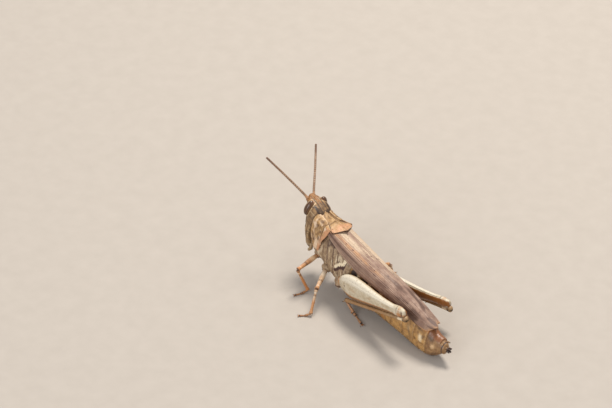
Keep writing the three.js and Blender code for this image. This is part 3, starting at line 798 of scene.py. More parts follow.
# %% Eyes
EYE_BULGE = 0.08  # how far each eye swells out beyond its plain egg
for name, side in (("left", 1), ("right", -1)):
    centre = Vector((EYE.x, side * (EYE.y + EYE_BULGE), EYE.z))
    deselect()
    bpy.ops.mesh.primitive_uv_sphere_add(segments=64, ring_count=40, radius=1)
    eye = bpy.context.object
    eye.name = name + "_eye"
    # A painted highlight: a pale band across the upper front of the eye.
    layer = eye.data.attributes.new("pale", "FLOAT", "POINT")
    painted_highlight_band = [
        hill(v.co.x + 0.35 * v.co.z, 0.72, 0.09) * ease(-0.5, 0.1, v.co.z) * 0.9
        for v in eye.data.vertices
    ]
    layer.data.foreach_set("value", painted_highlight_band)
    bpy.ops.object.mode_set(mode="EDIT")
    bpy.ops.mesh.select_all(action="SELECT")
    bpy.ops.transform.resize(value=(EYE_RADII[0], EYE_RADII[1] + EYE_BULGE, EYE_RADII[2]))
    bpy.ops.object.mode_set(mode="OBJECT")
    eye.data.transform(LEAN @ Matrix.Translation(centre) @ eye_turned(side).to_4x4())
    bpy.ops.object.shade_smooth()
    set_down(eye, EYE_FINISH, "eye_shell", "eye_" + name)

# %% [markdown]
# ## The feelers
# Each feeler has a stout first joint, a bead-like second one and a whip of two dozen rings that
# are narrow where they meet. The radius is one formula of the share of the way: a slow taper
# times a ripple for the rings. Both feelers are the same, only their aim differs.

# %% Feelers
FEELER_AIM = {"left": Vector((4.34, 2.15, 4.1)), "right": Vector((3.9, -3.65, 2.6))}
FEELER_LENGTH = 6.3
SCAPE_LENGTH = 0.7
SCAPE_END = 0.055  # the share of the way at which the first joint ends
BEAD_END = 0.095  # and the second
FEELER_RINGS = 24


def feeler_swell(share, angle):
    if share < SCAPE_END:
        return 0.21 * dome(share / (2 * SCAPE_END), 0.2)
    if share < BEAD_END:
        bead = (share - SCAPE_END) / (BEAD_END - SCAPE_END)
        return 0.16 * (0.75 + 0.35 * math.sin(math.pi * bead))
    whip = (share - BEAD_END) / (1 - BEAD_END)
    ripple = 0.86 + 0.2 * abs(math.sin(math.pi * FEELER_RINGS * whip)) ** 0.5
    tip = math.sqrt(clamp((1 - whip) / 0.02))
    return line_between(0.125, 0.105, whip) * ripple * tip


def feeler_dark(u, v, point):
    whip = (u - BEAD_END) / (1 - BEAD_END)
    joints = abs(math.cos(math.pi * FEELER_RINGS * whip)) ** 6
    return max(joints * 0.7 * ease(0.1, 0.15, u), ease(0.55, 1, u) * 0.55)


for name, side in (("left", 1), ("right", -1)):
    base = on_body(FEELER_BASE[0], side * FEELER_BASE[1], FEELER_BASE[2])
    bend = base + Vector((0.3, side * 0.12, 0.5))
    aim = FEELER_AIM[name].normalized()
    middle = bend + aim * FEELER_LENGTH * 0.45
    tip = bend + aim * (FEELER_LENGTH - SCAPE_LENGTH) + Vector((0.08, 0, -0.1))
    feeler = laid_sheet(
        name + "_feeler", 360, 14, rod_skin([base, bend, middle, tip], feeler_swell),
        {"dark": feeler_dark, "warm": lambda u, v, p: ease(0.2, 0.05, u) * 0.8},
    )
    set_down(feeler, FEELER_SHELL, "feeler_shell", "antenna_" + name)

# %% [markdown]
# ## The saddle
# The pronotum is one stiff plate that sits on the chest like a saddle: a flat disc on top with a
# keel along its middle and a keel bent inwards at each side, and two lobes that hang down to the
# front legs. Its hind edge makes a blunt point over the wings. Each line of the sheet runs
# across, over the three keels and down to the lobe's edge, and its front and hind ends are
# curves of their own. Three furrows cross it.

# %% Saddle measures
LOBE_EDGE = 3.85
SADDLE_THICKNESS = 0.12
UNDER_SADDLE = 5.2  # a height well inside it
disc_top = size_curve((13, 6.9), (14.4, 7.08), (16, 7.22), (17.2, 7.45))
disc_half_width = size_curve(
    (13, 1.46), (14.4, 1.42), (15, 1.15), (15.6, 0.82), (16.2, 0.66), (17.2, 0.7)
)
disc_fall = size_curve((13, 0.36), (14.4, 0.28), (15.6, 0.16), (17.2, 0.1))
lobe_half_width = size_curve((13, 1.58), (14.4, 1.62), (16, 1.48), (17.2, 1.42))
# By the step across: 0 is the middle keel, 3 the side keel, 7 the lobe's lower edge.
saddle_front = size_curve((0, 17.06), (3, 17.0), (5, 17.02), (6, 16.95), (6.6, 16.62), (7, 16.2))
saddle_hind = size_curve(
    (0, 13.33), (1, 13.55), (2, 14.1), (3, 14.45), (4, 14.6), (5, 14.85), (6, 15.3), (7, 15.8)
)


def saddle_across(x):
    """Heights and half widths of the saddle at the eight steps across."""
    top, disc, lobe, fall = disc_top(x), disc_half_width(x), lobe_half_width(x), disc_fall(x)
    middle = (top + LOBE_EDGE) / 2 - 0.3
    ridge = min(0.17, disc * 0.3)
    shoulder = (max(disc + 0.1, lobe * 0.9), top - max(fall + 0.16, 0.44))
    return [
        (0, top + 0.1), (ridge, top - 0.02), (disc - ridge, top - fall - 0.06),
        (disc, top - fall + 0.03), shoulder, (lobe, top - 1.15), (lobe + 0.04, middle),
        (lobe - 0.12, LOBE_EDGE),
    ]


def along_points(points, place):
    """A smooth line through evenly numbered points."""
    i = min(int(place), len(points) - 2)
    t = place - i
    p1, p2 = points[i], points[i + 1]
    p0 = points[i - 1] if i else tuple(2 * a - b for a, b in zip(p1, p2))
    p3 = points[i + 2] if i + 2 < len(points) else tuple(2 * b - a for a, b in zip(p1, p2))
    return tuple(curve_between(*four, t) for four in zip(p0, p1, p2, p3))


print("the saddle is", round(saddle_front(0) - saddle_hind(0), 2), "mm long")


# %% Skin of the saddle
def saddle_place(u, v):
    """The step across, from -7 at the right lobe's edge to 7, and the place along."""
    across = (v - 0.5) * 14
    step = abs(across)
    x = line_between(saddle_hind(step), saddle_front(step), u)
    return across, step, x


def saddle_furrows(step, x):
    deep = hill(x, 15.25 + 0.05 * step, 0.07) * 0.09 * ease(0.0, 0.4, step)
    middle = hill(x, 15.95, 0.06) * 0.06 * ease(2.4, 3.4, step)
    front = hill(x, 16.5 + 0.03 * (step - 4) ** 2, 0.06) * 0.06 * ease(2.6, 3.6, step)
    return (deep + middle + front) * ease(6.8, 6.0, step)


def saddle_skin(u, v):
    across, step, x = saddle_place(u, v)
    y, z = along_points(saddle_across(x), step)
    rim = 0.05 * (ease(0.06, 0.015, u) + ease(0.95, 0.985, u) + ease(6.7, 6.92, step))
    bulge = 0.07 * hill(x, 16.2, 0.22) * hill(step, 5.4, 0.8)
    bulge += 0.06 * hill(step, 5.6, 0.7) * hill(x, 15.6, 0.2)
    swell = rim + bulge - saddle_furrows(step, x)
    swell += 0.03 * noise.noise(Vector((x * 2.2, across, 3)))
    outward = ease(2.8, 4.6, step)
    y += swell * outward
    z += swell * (1 - outward)
    return on_body(x, math.copysign(y, across) if across else 0, z)


# %% Marks on the saddle
def saddle_dark(u, v, point):
    across, step, x = saddle_place(u, v)
    inner = hill(step, 2.25, 0.4) * hill(x, 15.1, 0.5) * 0.85
    outer = hill(step, 3.6, 0.32) * hill(x, 16.0, 0.5) * 0.65
    lobe = hill(step, 4.9, 0.5) * hill(x, 16.2, 0.3) * 0.45
    spots = hill(step, 5.9, 0.35) * hill(x, 15.85, 0.2) * 0.7
    front_spot = hill(step, 6.3, 0.25) * hill(x, 16.45, 0.12) * 0.8
    # The edge is painted shadow, a dark line along the hind margin of the disc.
    edge = ease(0.03, 0.0, u) * 0.95 * ease(3.4, 2.6, step)
    # The furrows are painted shade, darker where the grooves are pressed in.
    furrow = saddle_furrows(step, x) * 7
    blotches = ease(0.05, 0.4, noise.noise(Vector((x * 2.6, across * 1.5, 9)))) * 0.5
    blotches *= ease(14.4, 15.0, x) * ease(0.22, 0.4, u)
    # Painted shade: the right half of the disc is darker than the left, as the lean turns it away.
    painted_shade_right_disc = (0.45 if across < 0 else 0.2) * ease(15.0, 15.8, x) * ease(3, 2.4, step)
    return max(inner, outer, lobe, spots, front_spot, edge, furrow, blotches, painted_shade_right_disc)


def saddle_pale(u, v, point):
    across, step, x = saddle_place(u, v)
    keel = hill(step, 3.0, 0.14) * 0.5
    middle = hill(step, 0, 0.16) * 0.5
    lobe = hill(step, 6.2, 0.4) * 0.45 + hill(step, 4.5, 0.3) * ease(16.2, 16.8, x) * 0.5
    clouds = ease(0.0, 0.4, noise.noise(Vector((x * 2.2 + 5, across * 1.4, 2))))
    lobe += clouds * 0.6 * ease(3.2, 4, step)
    by_band = hill(u, 0.36, 0.05) * ease(5.2, 5.8, step) * 0.8
    hind_disc = ease(14.75, 14.2, x) * ease(2.6, 2.0, step) * 0.2
    return max(keel, middle, lobe, by_band, hind_disc)


def saddle_warm(u, v, point):
    across, step, x = saddle_place(u, v)
    mottle = 0.75 + 0.6 * noise.noise(Vector((x * 2.0, across * 1.6, 5)))
    hind_edge = ease(0.34, 0.2, u) * ease(3.2, 3.8, step) * 0.9 * mottle
    disc_hind = ease(15.1, 14.5, x) * ease(3.2, 2.6, step) * 0.7 * mottle
    return max(hind_edge, disc_hind)


# %% Lay the saddle
SADDLE_SHELL = shell_finish(
    "sandy saddle shell", (188, 150, 102), (156, 118, 72), (88, 58, 36), (200, 146, 106),
    (218, 190, 160), roughness=0.52, clouds=0.45, specks=0.65, pits=7, relief=0.035,
)
saddle = laid_sheet(
    "saddle", 90, 190, saddle_skin,
    {"dark": saddle_dark, "pale": saddle_pale, "warm": saddle_warm}, closed=False,
)
face_away_from(saddle, lambda point: on_body(point.x, 0, UNDER_SADDLE))
thicken(saddle, SADDLE_THICKNESS)
set_down(saddle, SADDLE_SHELL, "pronotum_shell", "pronotum")

# %% [markdown]
# ## The chest
# Behind the saddle's lobes the sides of the chest show: two pairs of upright plates that lean
# forward, parted by deep seams, under the roots of the wings. The chest is one closed skin with
# the seams pressed into it, for the plates are grown together on the real insect too. A pale
# hook crosses the hind plates, with a maroon shadow under it. Both are masks, which ask how far
# each point is from one bent line.

# %% Chest measures
wing_top = size_curve((WING_TIP_X, 3.4), (3.27, 4.47), (10.84, 6.13), (15, 6.95))
body_bottom = size_curve(
    (-1.5, 0.85), (-0.3, 0), (1, -0.2), (4, 0.2), (9.5, 0.85), (13, 1.5), (14.5, 2.0),
    (17, 3.1),
)
chest_half_width = size_curve((10.9, 1.3), (12.3, 1.42), (14, 1.35), (15.2, 1.2), (17.2, 1.0))
BELOW_ROOF = 0.5  # how far the trunk's back lies below the ridge of the wings
CHEST_SQUARENESS = 2.6
CHEST_SLANT = 0.16
# Each seam: where it crosses the height below, and how deep it is.
CHEST_SEAMS = ((12.0, 0.8), (12.75, 1), (13.55, 1.1), (14.35, 1), (15.15, 0.9))
SEAM_HEIGHT = 4.0
SEAM_WIDTH = 0.055


def ring_point(angle, top, bottom, half_width, power):
    """A point of a rounded ring across the body; the angle is 0 at the back's middle."""
    sin, cos = math.sin(angle), math.cos(angle)
    y = half_width * math.copysign(abs(sin) ** (2 / power), sin)
    z = (top + bottom) / 2 + (top - bottom) / 2 * math.copysign(abs(cos) ** (2 / power), cos)
    return y, z


def chest_seams(x, z):
    """How deep a seam is there; the seams lean forward as they rise."""
    lean_x = x - CHEST_SLANT * (z - SEAM_HEIGHT)
    seams = sum(depth * hill(lean_x, at, SEAM_WIDTH) for at, depth in CHEST_SEAMS)
    return seams * ease(1.7, 2.4, z) * ease(6.3, 5.7, z)


print("seams in the chest:", len(CHEST_SEAMS))


# %% Skin of the chest
def chest_skin(u, v):
    x = line_between(WAIST_X - 0.15, 17.15, clamp((u - 0.03) / 0.94))
    scale = min(clamp(u / 0.03), clamp((1 - u) / 0.03))
    top = min(wing_top(x), disc_top(max(x, 13))) - BELOW_ROOF + 0.05
    angle = 2 * math.pi * (v - 0.5)
    y, z = ring_point(angle, top, body_bottom(x), chest_half_width(x), CHEST_SQUARENESS)
    swell = 0.06 * math.sin((x - CHEST_SLANT * z) * 4.0) * ease(2.0, 3.0, z)
    swell -= 0.13 * chest_seams(x, z)
    swell += 0.05 * noise.noise(Vector((x * 1.6, y, z * 1.6)))
    y += math.copysign(swell, y) * ease(0.3, 0.8, abs(y))
    middle = (top + body_bottom(x)) / 2
    return on_body(x, y * scale, middle + (z - middle) * scale)


# %% Marks on the chest
def upright(point):
    return LEAN.inverted() @ point


HOOK = [Vector(corner) for corner in ((13.05, 3.4), (12.5, 3.95), (11.95, 4.2), (11.9, 4.7))]
SHADOW_DROP = 0.34


def from_hook(x, z):
    """How far a place on the side of the chest is from the bent line of the pale hook."""
    place = Vector((x, z))
    distances = []
    for start, end in zip(HOOK, HOOK[1:]):
        way = end - start
        share = clamp((place - start).dot(way) / way.length_squared)
        distances.append((place - start - way * share).length)
    return min(distances)


def chest_dark(u, v, point):
    x, y, z = upright(point)
    # The seams are painted shade, darker in the grooves between the plates.
    seams = chest_seams(x, z) * 0.75
    # Painted shade high on the chest, under the roots of the wings and the saddle.
    painted_shade_under_wing = ease(4.9, 5.5, z) * ease(15.0, 14.2, x) * 0.75
    maroon = ease(0.26, 0.12, from_hook(x, z + SHADOW_DROP)) * ease(11.5, 11.7, x)
    patches = ease(0.15, 0.5, noise.noise(Vector((x * 1.3, y * 0.4, z * 1.5 + 7)))) * 0.45
    slanted = x - CHEST_SLANT * z
    grain = ease(0.15, 0.55, noise.noise(Vector((slanted * 7.0, y, z * 1.1)))) * 0.5
    return max(seams, painted_shade_under_wing, maroon, patches, grain) * ease(0.1, 0.2, from_hook(x, z))


def chest_pale(u, v, point):
    x, y, z = upright(point)
    hook = ease(0.22, 0.12, from_hook(x, z))
    plates = ease(0.15, 0.5, noise.noise(Vector((x * 1.1 + 3, y * 0.4, z * 0.9)))) * 0.5
    slanted = x - CHEST_SLANT * z
    grain = ease(0.15, 0.5, noise.noise(Vector((slanted * 6.0 + 9, y, z * 1.1)))) * 0.6
    return max(hook, max(plates, grain) * ease(5.2, 4.6, z))


# %% Lay the chest
CHEST_SHELL = shell_finish(
    "grey brown chest shell", (174, 148, 116), (140, 114, 87), (72, 44, 37), (166, 112, 70),
    (232, 214, 182), roughness=0.55, clouds=0.4, specks=0.7, pits=9, relief=0.035,
)
chest = laid_sheet("chest", 130, 110, chest_skin, {"dark": chest_dark, "pale": chest_pale})
set_down(chest, CHEST_SHELL, "chest_shell", "thorax")

# %% [markdown]
# ## The folded wings
# The two fore wings are leathery and close over the back as a roof. Each has a field that lies
# flat on the back and a field that hangs down the side, with a bend between them where the
# strongest veins run. The left wing laps over the right one, which ends a little sooner. A wing
# is one sheet: lengthwise from its root under the saddle to its rounded tip, and across from
# its inner edge to its lower margin. The veins are ridges raised on the sheet itself. The net of
# fine cross veins between them belongs to the finish.

# %% Wing measures
wing_margin = size_curve(
    (WING_TIP_X, 2.7), (1.5, 2.72), (3.5, 3.24), (5, 3.58), (8, 3.92), (10.5, 4.35), (13, 5.25),
    (15, 6.3),
)
wing_half_width = size_curve(
    (WING_TIP_X, 0.5), (0.1, 0.8), (1.5, 0.98), (4, 1.17), (8, 1.36), (12, 1.48), (15, 1.45)
)
WING_ROOT_X = 14.7
WING_THICKNESS = 0.07
# Each vein: its step across at the root and at the tip, its height, and where it ends (0 to 1).
VEINS = (
    (0.25, 0.5, 0.6, 1.0), (0.75, 1.1, 0.8, 0.9), (1.25, 1.5, 0.7, 1.0), (1.75, 1.9, 1.0, 1.0),
    (2.15, 2.2, 1.0, 1.0), (2.5, 2.6, 1.5, 1.0), (2.85, 2.85, 1.3, 1.0), (3.2, 3.3, 1.2, 1.0),
    (3.6, 4.0, 1.0, 0.85), (4.1, 4.7, 0.9, 0.6),
)
VEIN_WIDTH = 0.085
VEIN_HEIGHT = 0.035
TIP_STEP = 1.2
MARGIN_STEP = 5.0
LEFT_INNER_STEP, RIGHT_INNER_STEP = -0.62, -0.05
RIGHT_WING_LIFT = -0.07
RIGHT_WING_SHORTER = 0.45


def roof_across(x):
    """Half of the roof at six places, from the back's middle to the lower margin."""
    top, width, margin = wing_top(x), wing_half_width(x), wing_margin(x)
    fall = top - margin
    return [
        (0, top), (width * 0.45, top - 0.04 * fall), (width * 0.74, top - 0.12 * fall),
        (width * 0.93, top - 0.36 * fall), (width, top - 0.7 * fall), (width * 0.99, margin),
    ]


def veins_at(step, share):
    height = 0.0
    for root, tip, strength, end in VEINS:
        at = line_between(root, tip, share)
        reach = ease(end + 0.02, end - 0.06, share)
        height = max(height, strength * hill(step, at, VEIN_WIDTH) * reach)
    return height


def tip_of(step):
    """Where the wing ends at that step: a rounded tip, cut back more below than above."""
    below = step > TIP_STEP
    away = (step - TIP_STEP) / (MARGIN_STEP - TIP_STEP) if below else (TIP_STEP - step) / 2.0
    return WING_TIP_X + (0.85 if below else 0.7) * away**2


print("veins in a wing:", len(VEINS))


# %% Skin of a wing
WING_ROWS, WING_COLUMNS = 150, 150


def wing_place(side, u, v):
    """The share from root to tip, and the step across; below 0 is beyond the back's middle."""
    inner = LEFT_INNER_STEP if side > 0 else RIGHT_INNER_STEP
    return u, line_between(inner, MARGIN_STEP, v)


def wing_skin(side):
    lift = 0.0 if side > 0 else RIGHT_WING_LIFT
    shorter = 0.0 if side > 0 else RIGHT_WING_SHORTER

    def place(u, v):
        share, step = wing_place(side, u, v)
        x = line_between(WING_ROOT_X, tip_of(step) + shorter, share)
        y, z = along_points(roof_across(x), abs(step))
        if step < 0:
            y = -y
        raised = VEIN_HEIGHT * veins_at(step, share)
        raised += 0.012 * noise.noise(Vector((x * 1.5, step * 2, side)))
        raised += 0.05 * hill(step, 3.0, 0.25) * ease(0.02, 0.15, share)
        slope = ease(1.7, 3.4, step)
        y += (raised + lift) * slope
        z += (raised + lift) * (1 - slope)
        return on_body(x, side * y, z)

    return place


# %% Marks on a wing
def streak(share, step, which):
    """Lengthwise streaks between 0 and 1, long along the wing and fine across it."""
    return clamp(0.5 + 1.1 * noise.noise(Vector((share * 5.0, step * 5.5, which))))


def wing_masks(side):
    def dark(u, v, point):
        share, step = wing_place(side, u, v)
        below = ease(2.7, 3.1, step) * ease(0.95, 0.3, share)
        side_field = below * (0.1 + 0.25 * streak(share, step, 1))
        side_field += 0.5 * below * hill(step, 3.3, 0.28) * ease(0.45, 0.15, share)
        upper = ease(2.9, 2.4, step) * ease(0.08, 0.2, share)
        streaks = upper * (0.2 + 0.4 * ease(0.3, 0.8, share)) * ease(0.4, 1, streak(share, step, 5))
        clouds = ease(-0.15, 0.4, noise.noise(Vector((share * 9.0, step * 0.9, 15 + side))))
        clouds *= 0.15 + 0.6 * ease(0.35, 0.7, share)
        spots = ease(0.42, 0.58, noise.noise(Vector((share * 26.0, step * 2.4, 30 + side))))
        spots *= ease(0.08, 0.16, share) * ease(3.0, 2.6, step)
        inner = hill(step, -0.6 if side > 0 else 0.3, 0.1) * 0.6
        return max(side_field, streaks, clouds, spots * 0.7, inner)

    def pale(u, v, point):
        share, step = wing_place(side, u, v)
        shoulder = hill(step, 2.5, 0.2) * ease(0.55, 0.25, share) * 0.4
        front = ease(0.4, 0.16, share) * hill(step, 0.7, 0.7) * 0.85
        # Painted highlight: the right wing's upper field is paler, where light falls on it.
        far_wing_painted_highlight = 0.0 if side > 0 else ease(0.7, 0.4, share) * ease(2.9, 2.3, step) * 0.75
        # Pale streaks on the upper field, which also stand in for a painted highlight along it.
        pale_streaks_and_highlight = ease(2.8, 2.3, step) * ease(0.75, 0.35, share)
        pale_streaks_and_highlight = pale_streaks_and_highlight * ease(0.55, 1.0, streak(share, step, 9)) * 0.6
        edge = hill(step, 4.7, 0.25) * ease(0.5, 0.2, share) * 0.4
        return max(shoulder, front, far_wing_painted_highlight, pale_streaks_and_highlight, edge)

    def warm(u, v, point):
        share, step = wing_place(side, u, v)
        mottle = 0.7 + 0.7 * noise.noise(Vector((share * 14.0, step * 1.5, 40 + side)))
        back = ease(0.62, 0.4, share) * hill(step, 1.9, 0.75) * 0.8 * mottle
        margin = ease(4.6, 4.9, step) * ease(0.5, 0.8, share) * 0.8
        tip = ease(0.95, 1.0, share) * 0.6
        return max(back, margin, tip)

    def vein(u, v, point):
        share, step = wing_place(side, u, v)
        return veins_at(step, share)

    return {"dark": dark, "pale": pale, "warm": warm, "vein": vein}


# %% Wing leather
def wing_finish():
    """Leather between the veins: the shell recipe, with a net of cross veins over it."""
    finish = shell_finish(
        "leathery wing", (160, 130, 110), (134, 105, 90), (86, 61, 49), (188, 142, 102),
        (202, 178, 150), roughness=0.6, clouds=1.3, specks=0.5, pits=10, relief=0.015,
    )
    nodes, links = finish.node_tree.nodes, finish.node_tree.links
    shader = nodes["Principled BSDF"]
    below = shader.inputs["Base Color"].links[0].from_socket
    flat = nodes.new("ShaderNodeUVMap")
    flat.uv_map = "UVMap"
    squares = nodes.new("ShaderNodeMapping")
    squares.inputs["Scale"].default_value = (15.0, 5.2, 1.0)
    links.new(flat.outputs["UV"], squares.inputs["Vector"])
    net = nodes.new("ShaderNodeTexBrick")
    net.offset = 0.5
    net.inputs["Scale"].default_value = 5.0
    net.inputs["Mortar Size"].default_value = 0.035
    net.inputs["Mortar Smooth"].default_value = 0.6
    net.inputs["Brick Width"].default_value = 0.28
    net.inputs["Row Height"].default_value = 0.42
    links.new(squares.outputs["Vector"], net.inputs["Vector"])
    vein = nodes.new("ShaderNodeAttribute")
    vein.attribute_name = "vein"
    lines = math_node(nodes, links, "MULTIPLY", net.outputs["Fac"], 0.35)
    strong = math_node(nodes, links, "MULTIPLY", vein.outputs["Fac"], 0.4)
    both = math_node(nodes, links, "MAXIMUM", lines, strong)
    colour = colour_mix(nodes, links, both, below, tint(128, 94, 74))
    links.new(colour, shader.inputs["Base Color"])
    return finish


WING_LEATHER = wing_finish()

# %% Lay the wings
for name, side in (("left", 1), ("right", -1)):
    wing = laid_sheet(
        name + "_wing", WING_COLUMNS, WING_ROWS, wing_skin(side), wing_masks(side), closed=False
    )
    face_away_from(wing, lambda point: on_body(point.x, 0, wing_top(point.x) - 1.5))
    thicken(wing, WING_THICKNESS)
    set_down(wing, WING_LEATHER, "wing_leather", "wing_" + name)

# %% [markdown]
# ## The abdomen
# Eight rings slide into one another like a telescope. Each has a back plate that reaches
# down the sides, a soft fold low on the flank and a belly plate. Its hind edge stands a little
# over the next ring. One function draws a ring from its front edge, tucked under the ring before,
# to its hind lip, and a loop makes the eight. The dark flank spots of the first rings
# and the pale hind edges are masks.

# %% Skin of one ring
belly_half_width = size_curve((-1.5, 0.5), (-0.5, 0.78), (2, 1.0), (6, 1.15), (11.5, 1.28))
RINGS = 8
SPOTTED_RINGS = 3
RING_LENGTH = (WAIST_X - TAIL_X) / RINGS
TUCK = 0.3
LIP = 0.07
BELLY_TOP = 5.2
BELLY_SQUARENESS = 2.2
FOLD_ANGLE = 1.9  # of the soft fold on the flank, down from the back's middle
print("each ring of the abdomen shows", round(RING_LENGTH, 2), "mm")


def ring_skin(index):
    front = WAIST_X - index * RING_LENGTH + TUCK
    back = WAIST_X - (index + 1) * RING_LENGTH

    def place(u, v):
        x = line_between(front, back, clamp((u - 0.04) / 0.92))
        scale = min(clamp(u / 0.04), clamp((1 - u) / 0.04))
        share = (front - x) / (front - back)
        angle = 2 * math.pi * (v - 0.5)
        top = min(wing_top(max(x, WING_TIP_X)) - BELOW_ROOF, BELLY_TOP)
        if index == RINGS - 1:
            top -= 0.25 * (front - x)
        y, z = ring_point(angle, top, body_bottom(x), belly_half_width(x), BELLY_SQUARENESS)
        middle = (top + body_bottom(x)) / 2
        fold = hill(abs(angle), FOLD_ANGLE, 0.09) * 0.07
        pleat = hill(abs(angle), FOLD_ANGLE, 0.14) * 0.03 * math.sin(share * 40)
        lip = LIP * ease(0.62, 0.97, share) * ease(2.5, 1.8, abs(angle))
        lip -= 0.1 * ease(0.22, 0.0, share)
        crease = 0.012 * hill(share, 0.5, 0.08) * ease(1.6, 1.2, abs(angle))
        size = 1 + (lip - fold + pleat - crease + 0.02 * noise.noise(Vector((x * 2, y * 2, z * 2))))
        on_ring = on_body(x, y * size * scale, middle + (z - middle) * size * scale)
        # The belly lies on the floor and is pressed flat there.
        on_ring.z = max(on_ring.z, 0.0)
        return on_ring

    return place


# %% Marks on one ring
def ring_masks(index):
    spotted = index < SPOTTED_RINGS

    def dark(u, v, point):
        angle = abs(2 * math.pi * (v - 0.5))
        spot = hill(u, 0.52, 0.2) * hill(angle, 1.28, 0.24) * (1.0 if spotted else 0.0)
        flank = hill(angle, 1.05, 0.3) * hill(u, 0.4, 0.3) * (0.3 if spotted else 0.55)
        # The low part is painted shade, darker on the underside of the ring.
        low = ease(2.0, 2.7, angle) * 0.5 * (1 if index < 6 else 0.6)
        grime = noise.noise(Vector((point.x * 2.2, point.y * 2.2, point.z * 1.5)))
        grime = 0.4 * ease(0.05, 0.45, grime)
        lip = 0.28 * hill(u, 0.985, 0.03)
        return max(spot * 1.4, flank, low, grime, lip)

    def pale(u, v, point):
        angle = abs(2 * math.pi * (v - 0.5))
        edge = hill(u, 0.92, 0.05) * (0.5 if spotted else 0.3)
        cream = hill(u, 0.8, 0.1) * hill(angle, 1.45, 0.35) * (0.9 if spotted else 0.0)
        patch = hill(u, 0.6, 0.16) * hill(angle, 1.55, 0.24) * (0.75 if index >= 6 else 0.35)
        return max(edge * ease(2.4, 1.8, angle), cream, patch)

    def warm(u, v, point):
        angle = abs(2 * math.pi * (v - 0.5))
        amber = ease(0.2, 0.5, noise.noise(Vector((point.x * 1.2, point.y, 11)))) * 0.5
        return max(ease(1.35, 0.6, angle) * 0.85, ease(4.5, 7, index) * 0.2, amber)

    return {"dark": dark, "pale": pale, "warm": warm}


# %% Lay the abdomen
BELLY_SHELL = shell_finish(
    "straw belly rings", (186, 142, 84), (150, 110, 64), (56, 40, 30), (182, 120, 56),
    (226, 204, 168), roughness=0.4, clouds=0.5, specks=0.4, pits=10, relief=0.02,
)
TAIL_SHELL = shell_finish(
    "red brown tail shell", (154, 118, 78), (122, 86, 52), (58, 38, 28), (128, 78, 42),
    (202, 166, 124), roughness=0.38, clouds=0.5, specks=0.4, pits=10, relief=0.02,
)
for index in range(RINGS):
    ring = laid_sheet(
        "belly_ring_%d" % (index + 1), 36, 80, ring_skin(index), ring_masks(index)
    )
    last = index == RINGS - 1
    finish, slot = (TAIL_SHELL, "tail_shell") if last else (BELLY_SHELL, "belly_shell")
    set_down(ring, finish, slot, "abdomen_%d" % (index + 1))

# %% [markdown]
# ## The tail
# The body ends in a blunt plug, two short cones (the cerci) and four horny prongs, in an upper
# and a lower pair, with which she digs to lay eggs. Each prong is a short blunt rod that bends
# at its tip, away from the other pair.

# %% Tail pieces
PLUG_HEIGHT = 1.56


def tail_plug(u, v):
    x = line_between(TAIL_X + 0.25, TAIL_X - 0.6, u)
    scale = dome(u, 0.25)
    angle = 2 * math.pi * v
    half, tall = line_between(0.66, 0.4, u), line_between(0.85, 0.52, u)
    z = PLUG_HEIGHT - 0.04 * u + tall * math.cos(angle) * scale
    return on_body(x, half * math.sin(angle) * scale, z)


def cercus_swell(share, angle):
    return 0.13 * (1 - 0.7 * share) * dome(share, 0.08)


def prong_swell(share, angle):
    return 0.15 * (1 - 0.45 * share) * dome(share, 0.16)


tail_bits = [laid_sheet("tail", 24, 40, tail_plug, {"dark": lambda u, v, p: hill(u, 0.6, 0.06)})]
for side in (1, -1):
    cercus = [on_body(TAIL_X - 0.1, side * 0.42, 2.05), on_body(TAIL_X - 0.42, side * 0.52, 2.08)]
    tail_bits.append(
        laid_sheet("cercus", 14, 12, rod_skin(cercus, cercus_swell),
                   {"dark": lambda u, v, p: ease(0.6, 1, u)})
    )
    for low in (0, 1):
        root = on_body(TAIL_X - 0.25, side * 0.13, 1.72 - 0.22 * low)
        waist = on_body(TAIL_X - 0.75, side * 0.13, 1.74 - 0.22 * low)
        point = on_body(TAIL_X - 1.05, side * 0.12, 1.86 - 0.44 * low)
        prong = laid_sheet(
            "prong", 26, 16, rod_skin([root, waist, point], prong_swell),
            {"dark": lambda u, v, p: ease(0.2, 0.8, u)},
        )
        tail_bits.append(prong)
set_down(join("tail_tip", tail_bits), TAIL_SHELL, "tail_shell", "abdomen_tip")

# %% [markdown]
# ## Joints of the legs
# Each leg runs hip, knee, ankle, toe. The hips belong to the leaning trunk, while knees, ankles
# and toes are measured from the level floor, as the feet stand flat however the body leans. The
# same places were used for the solids.

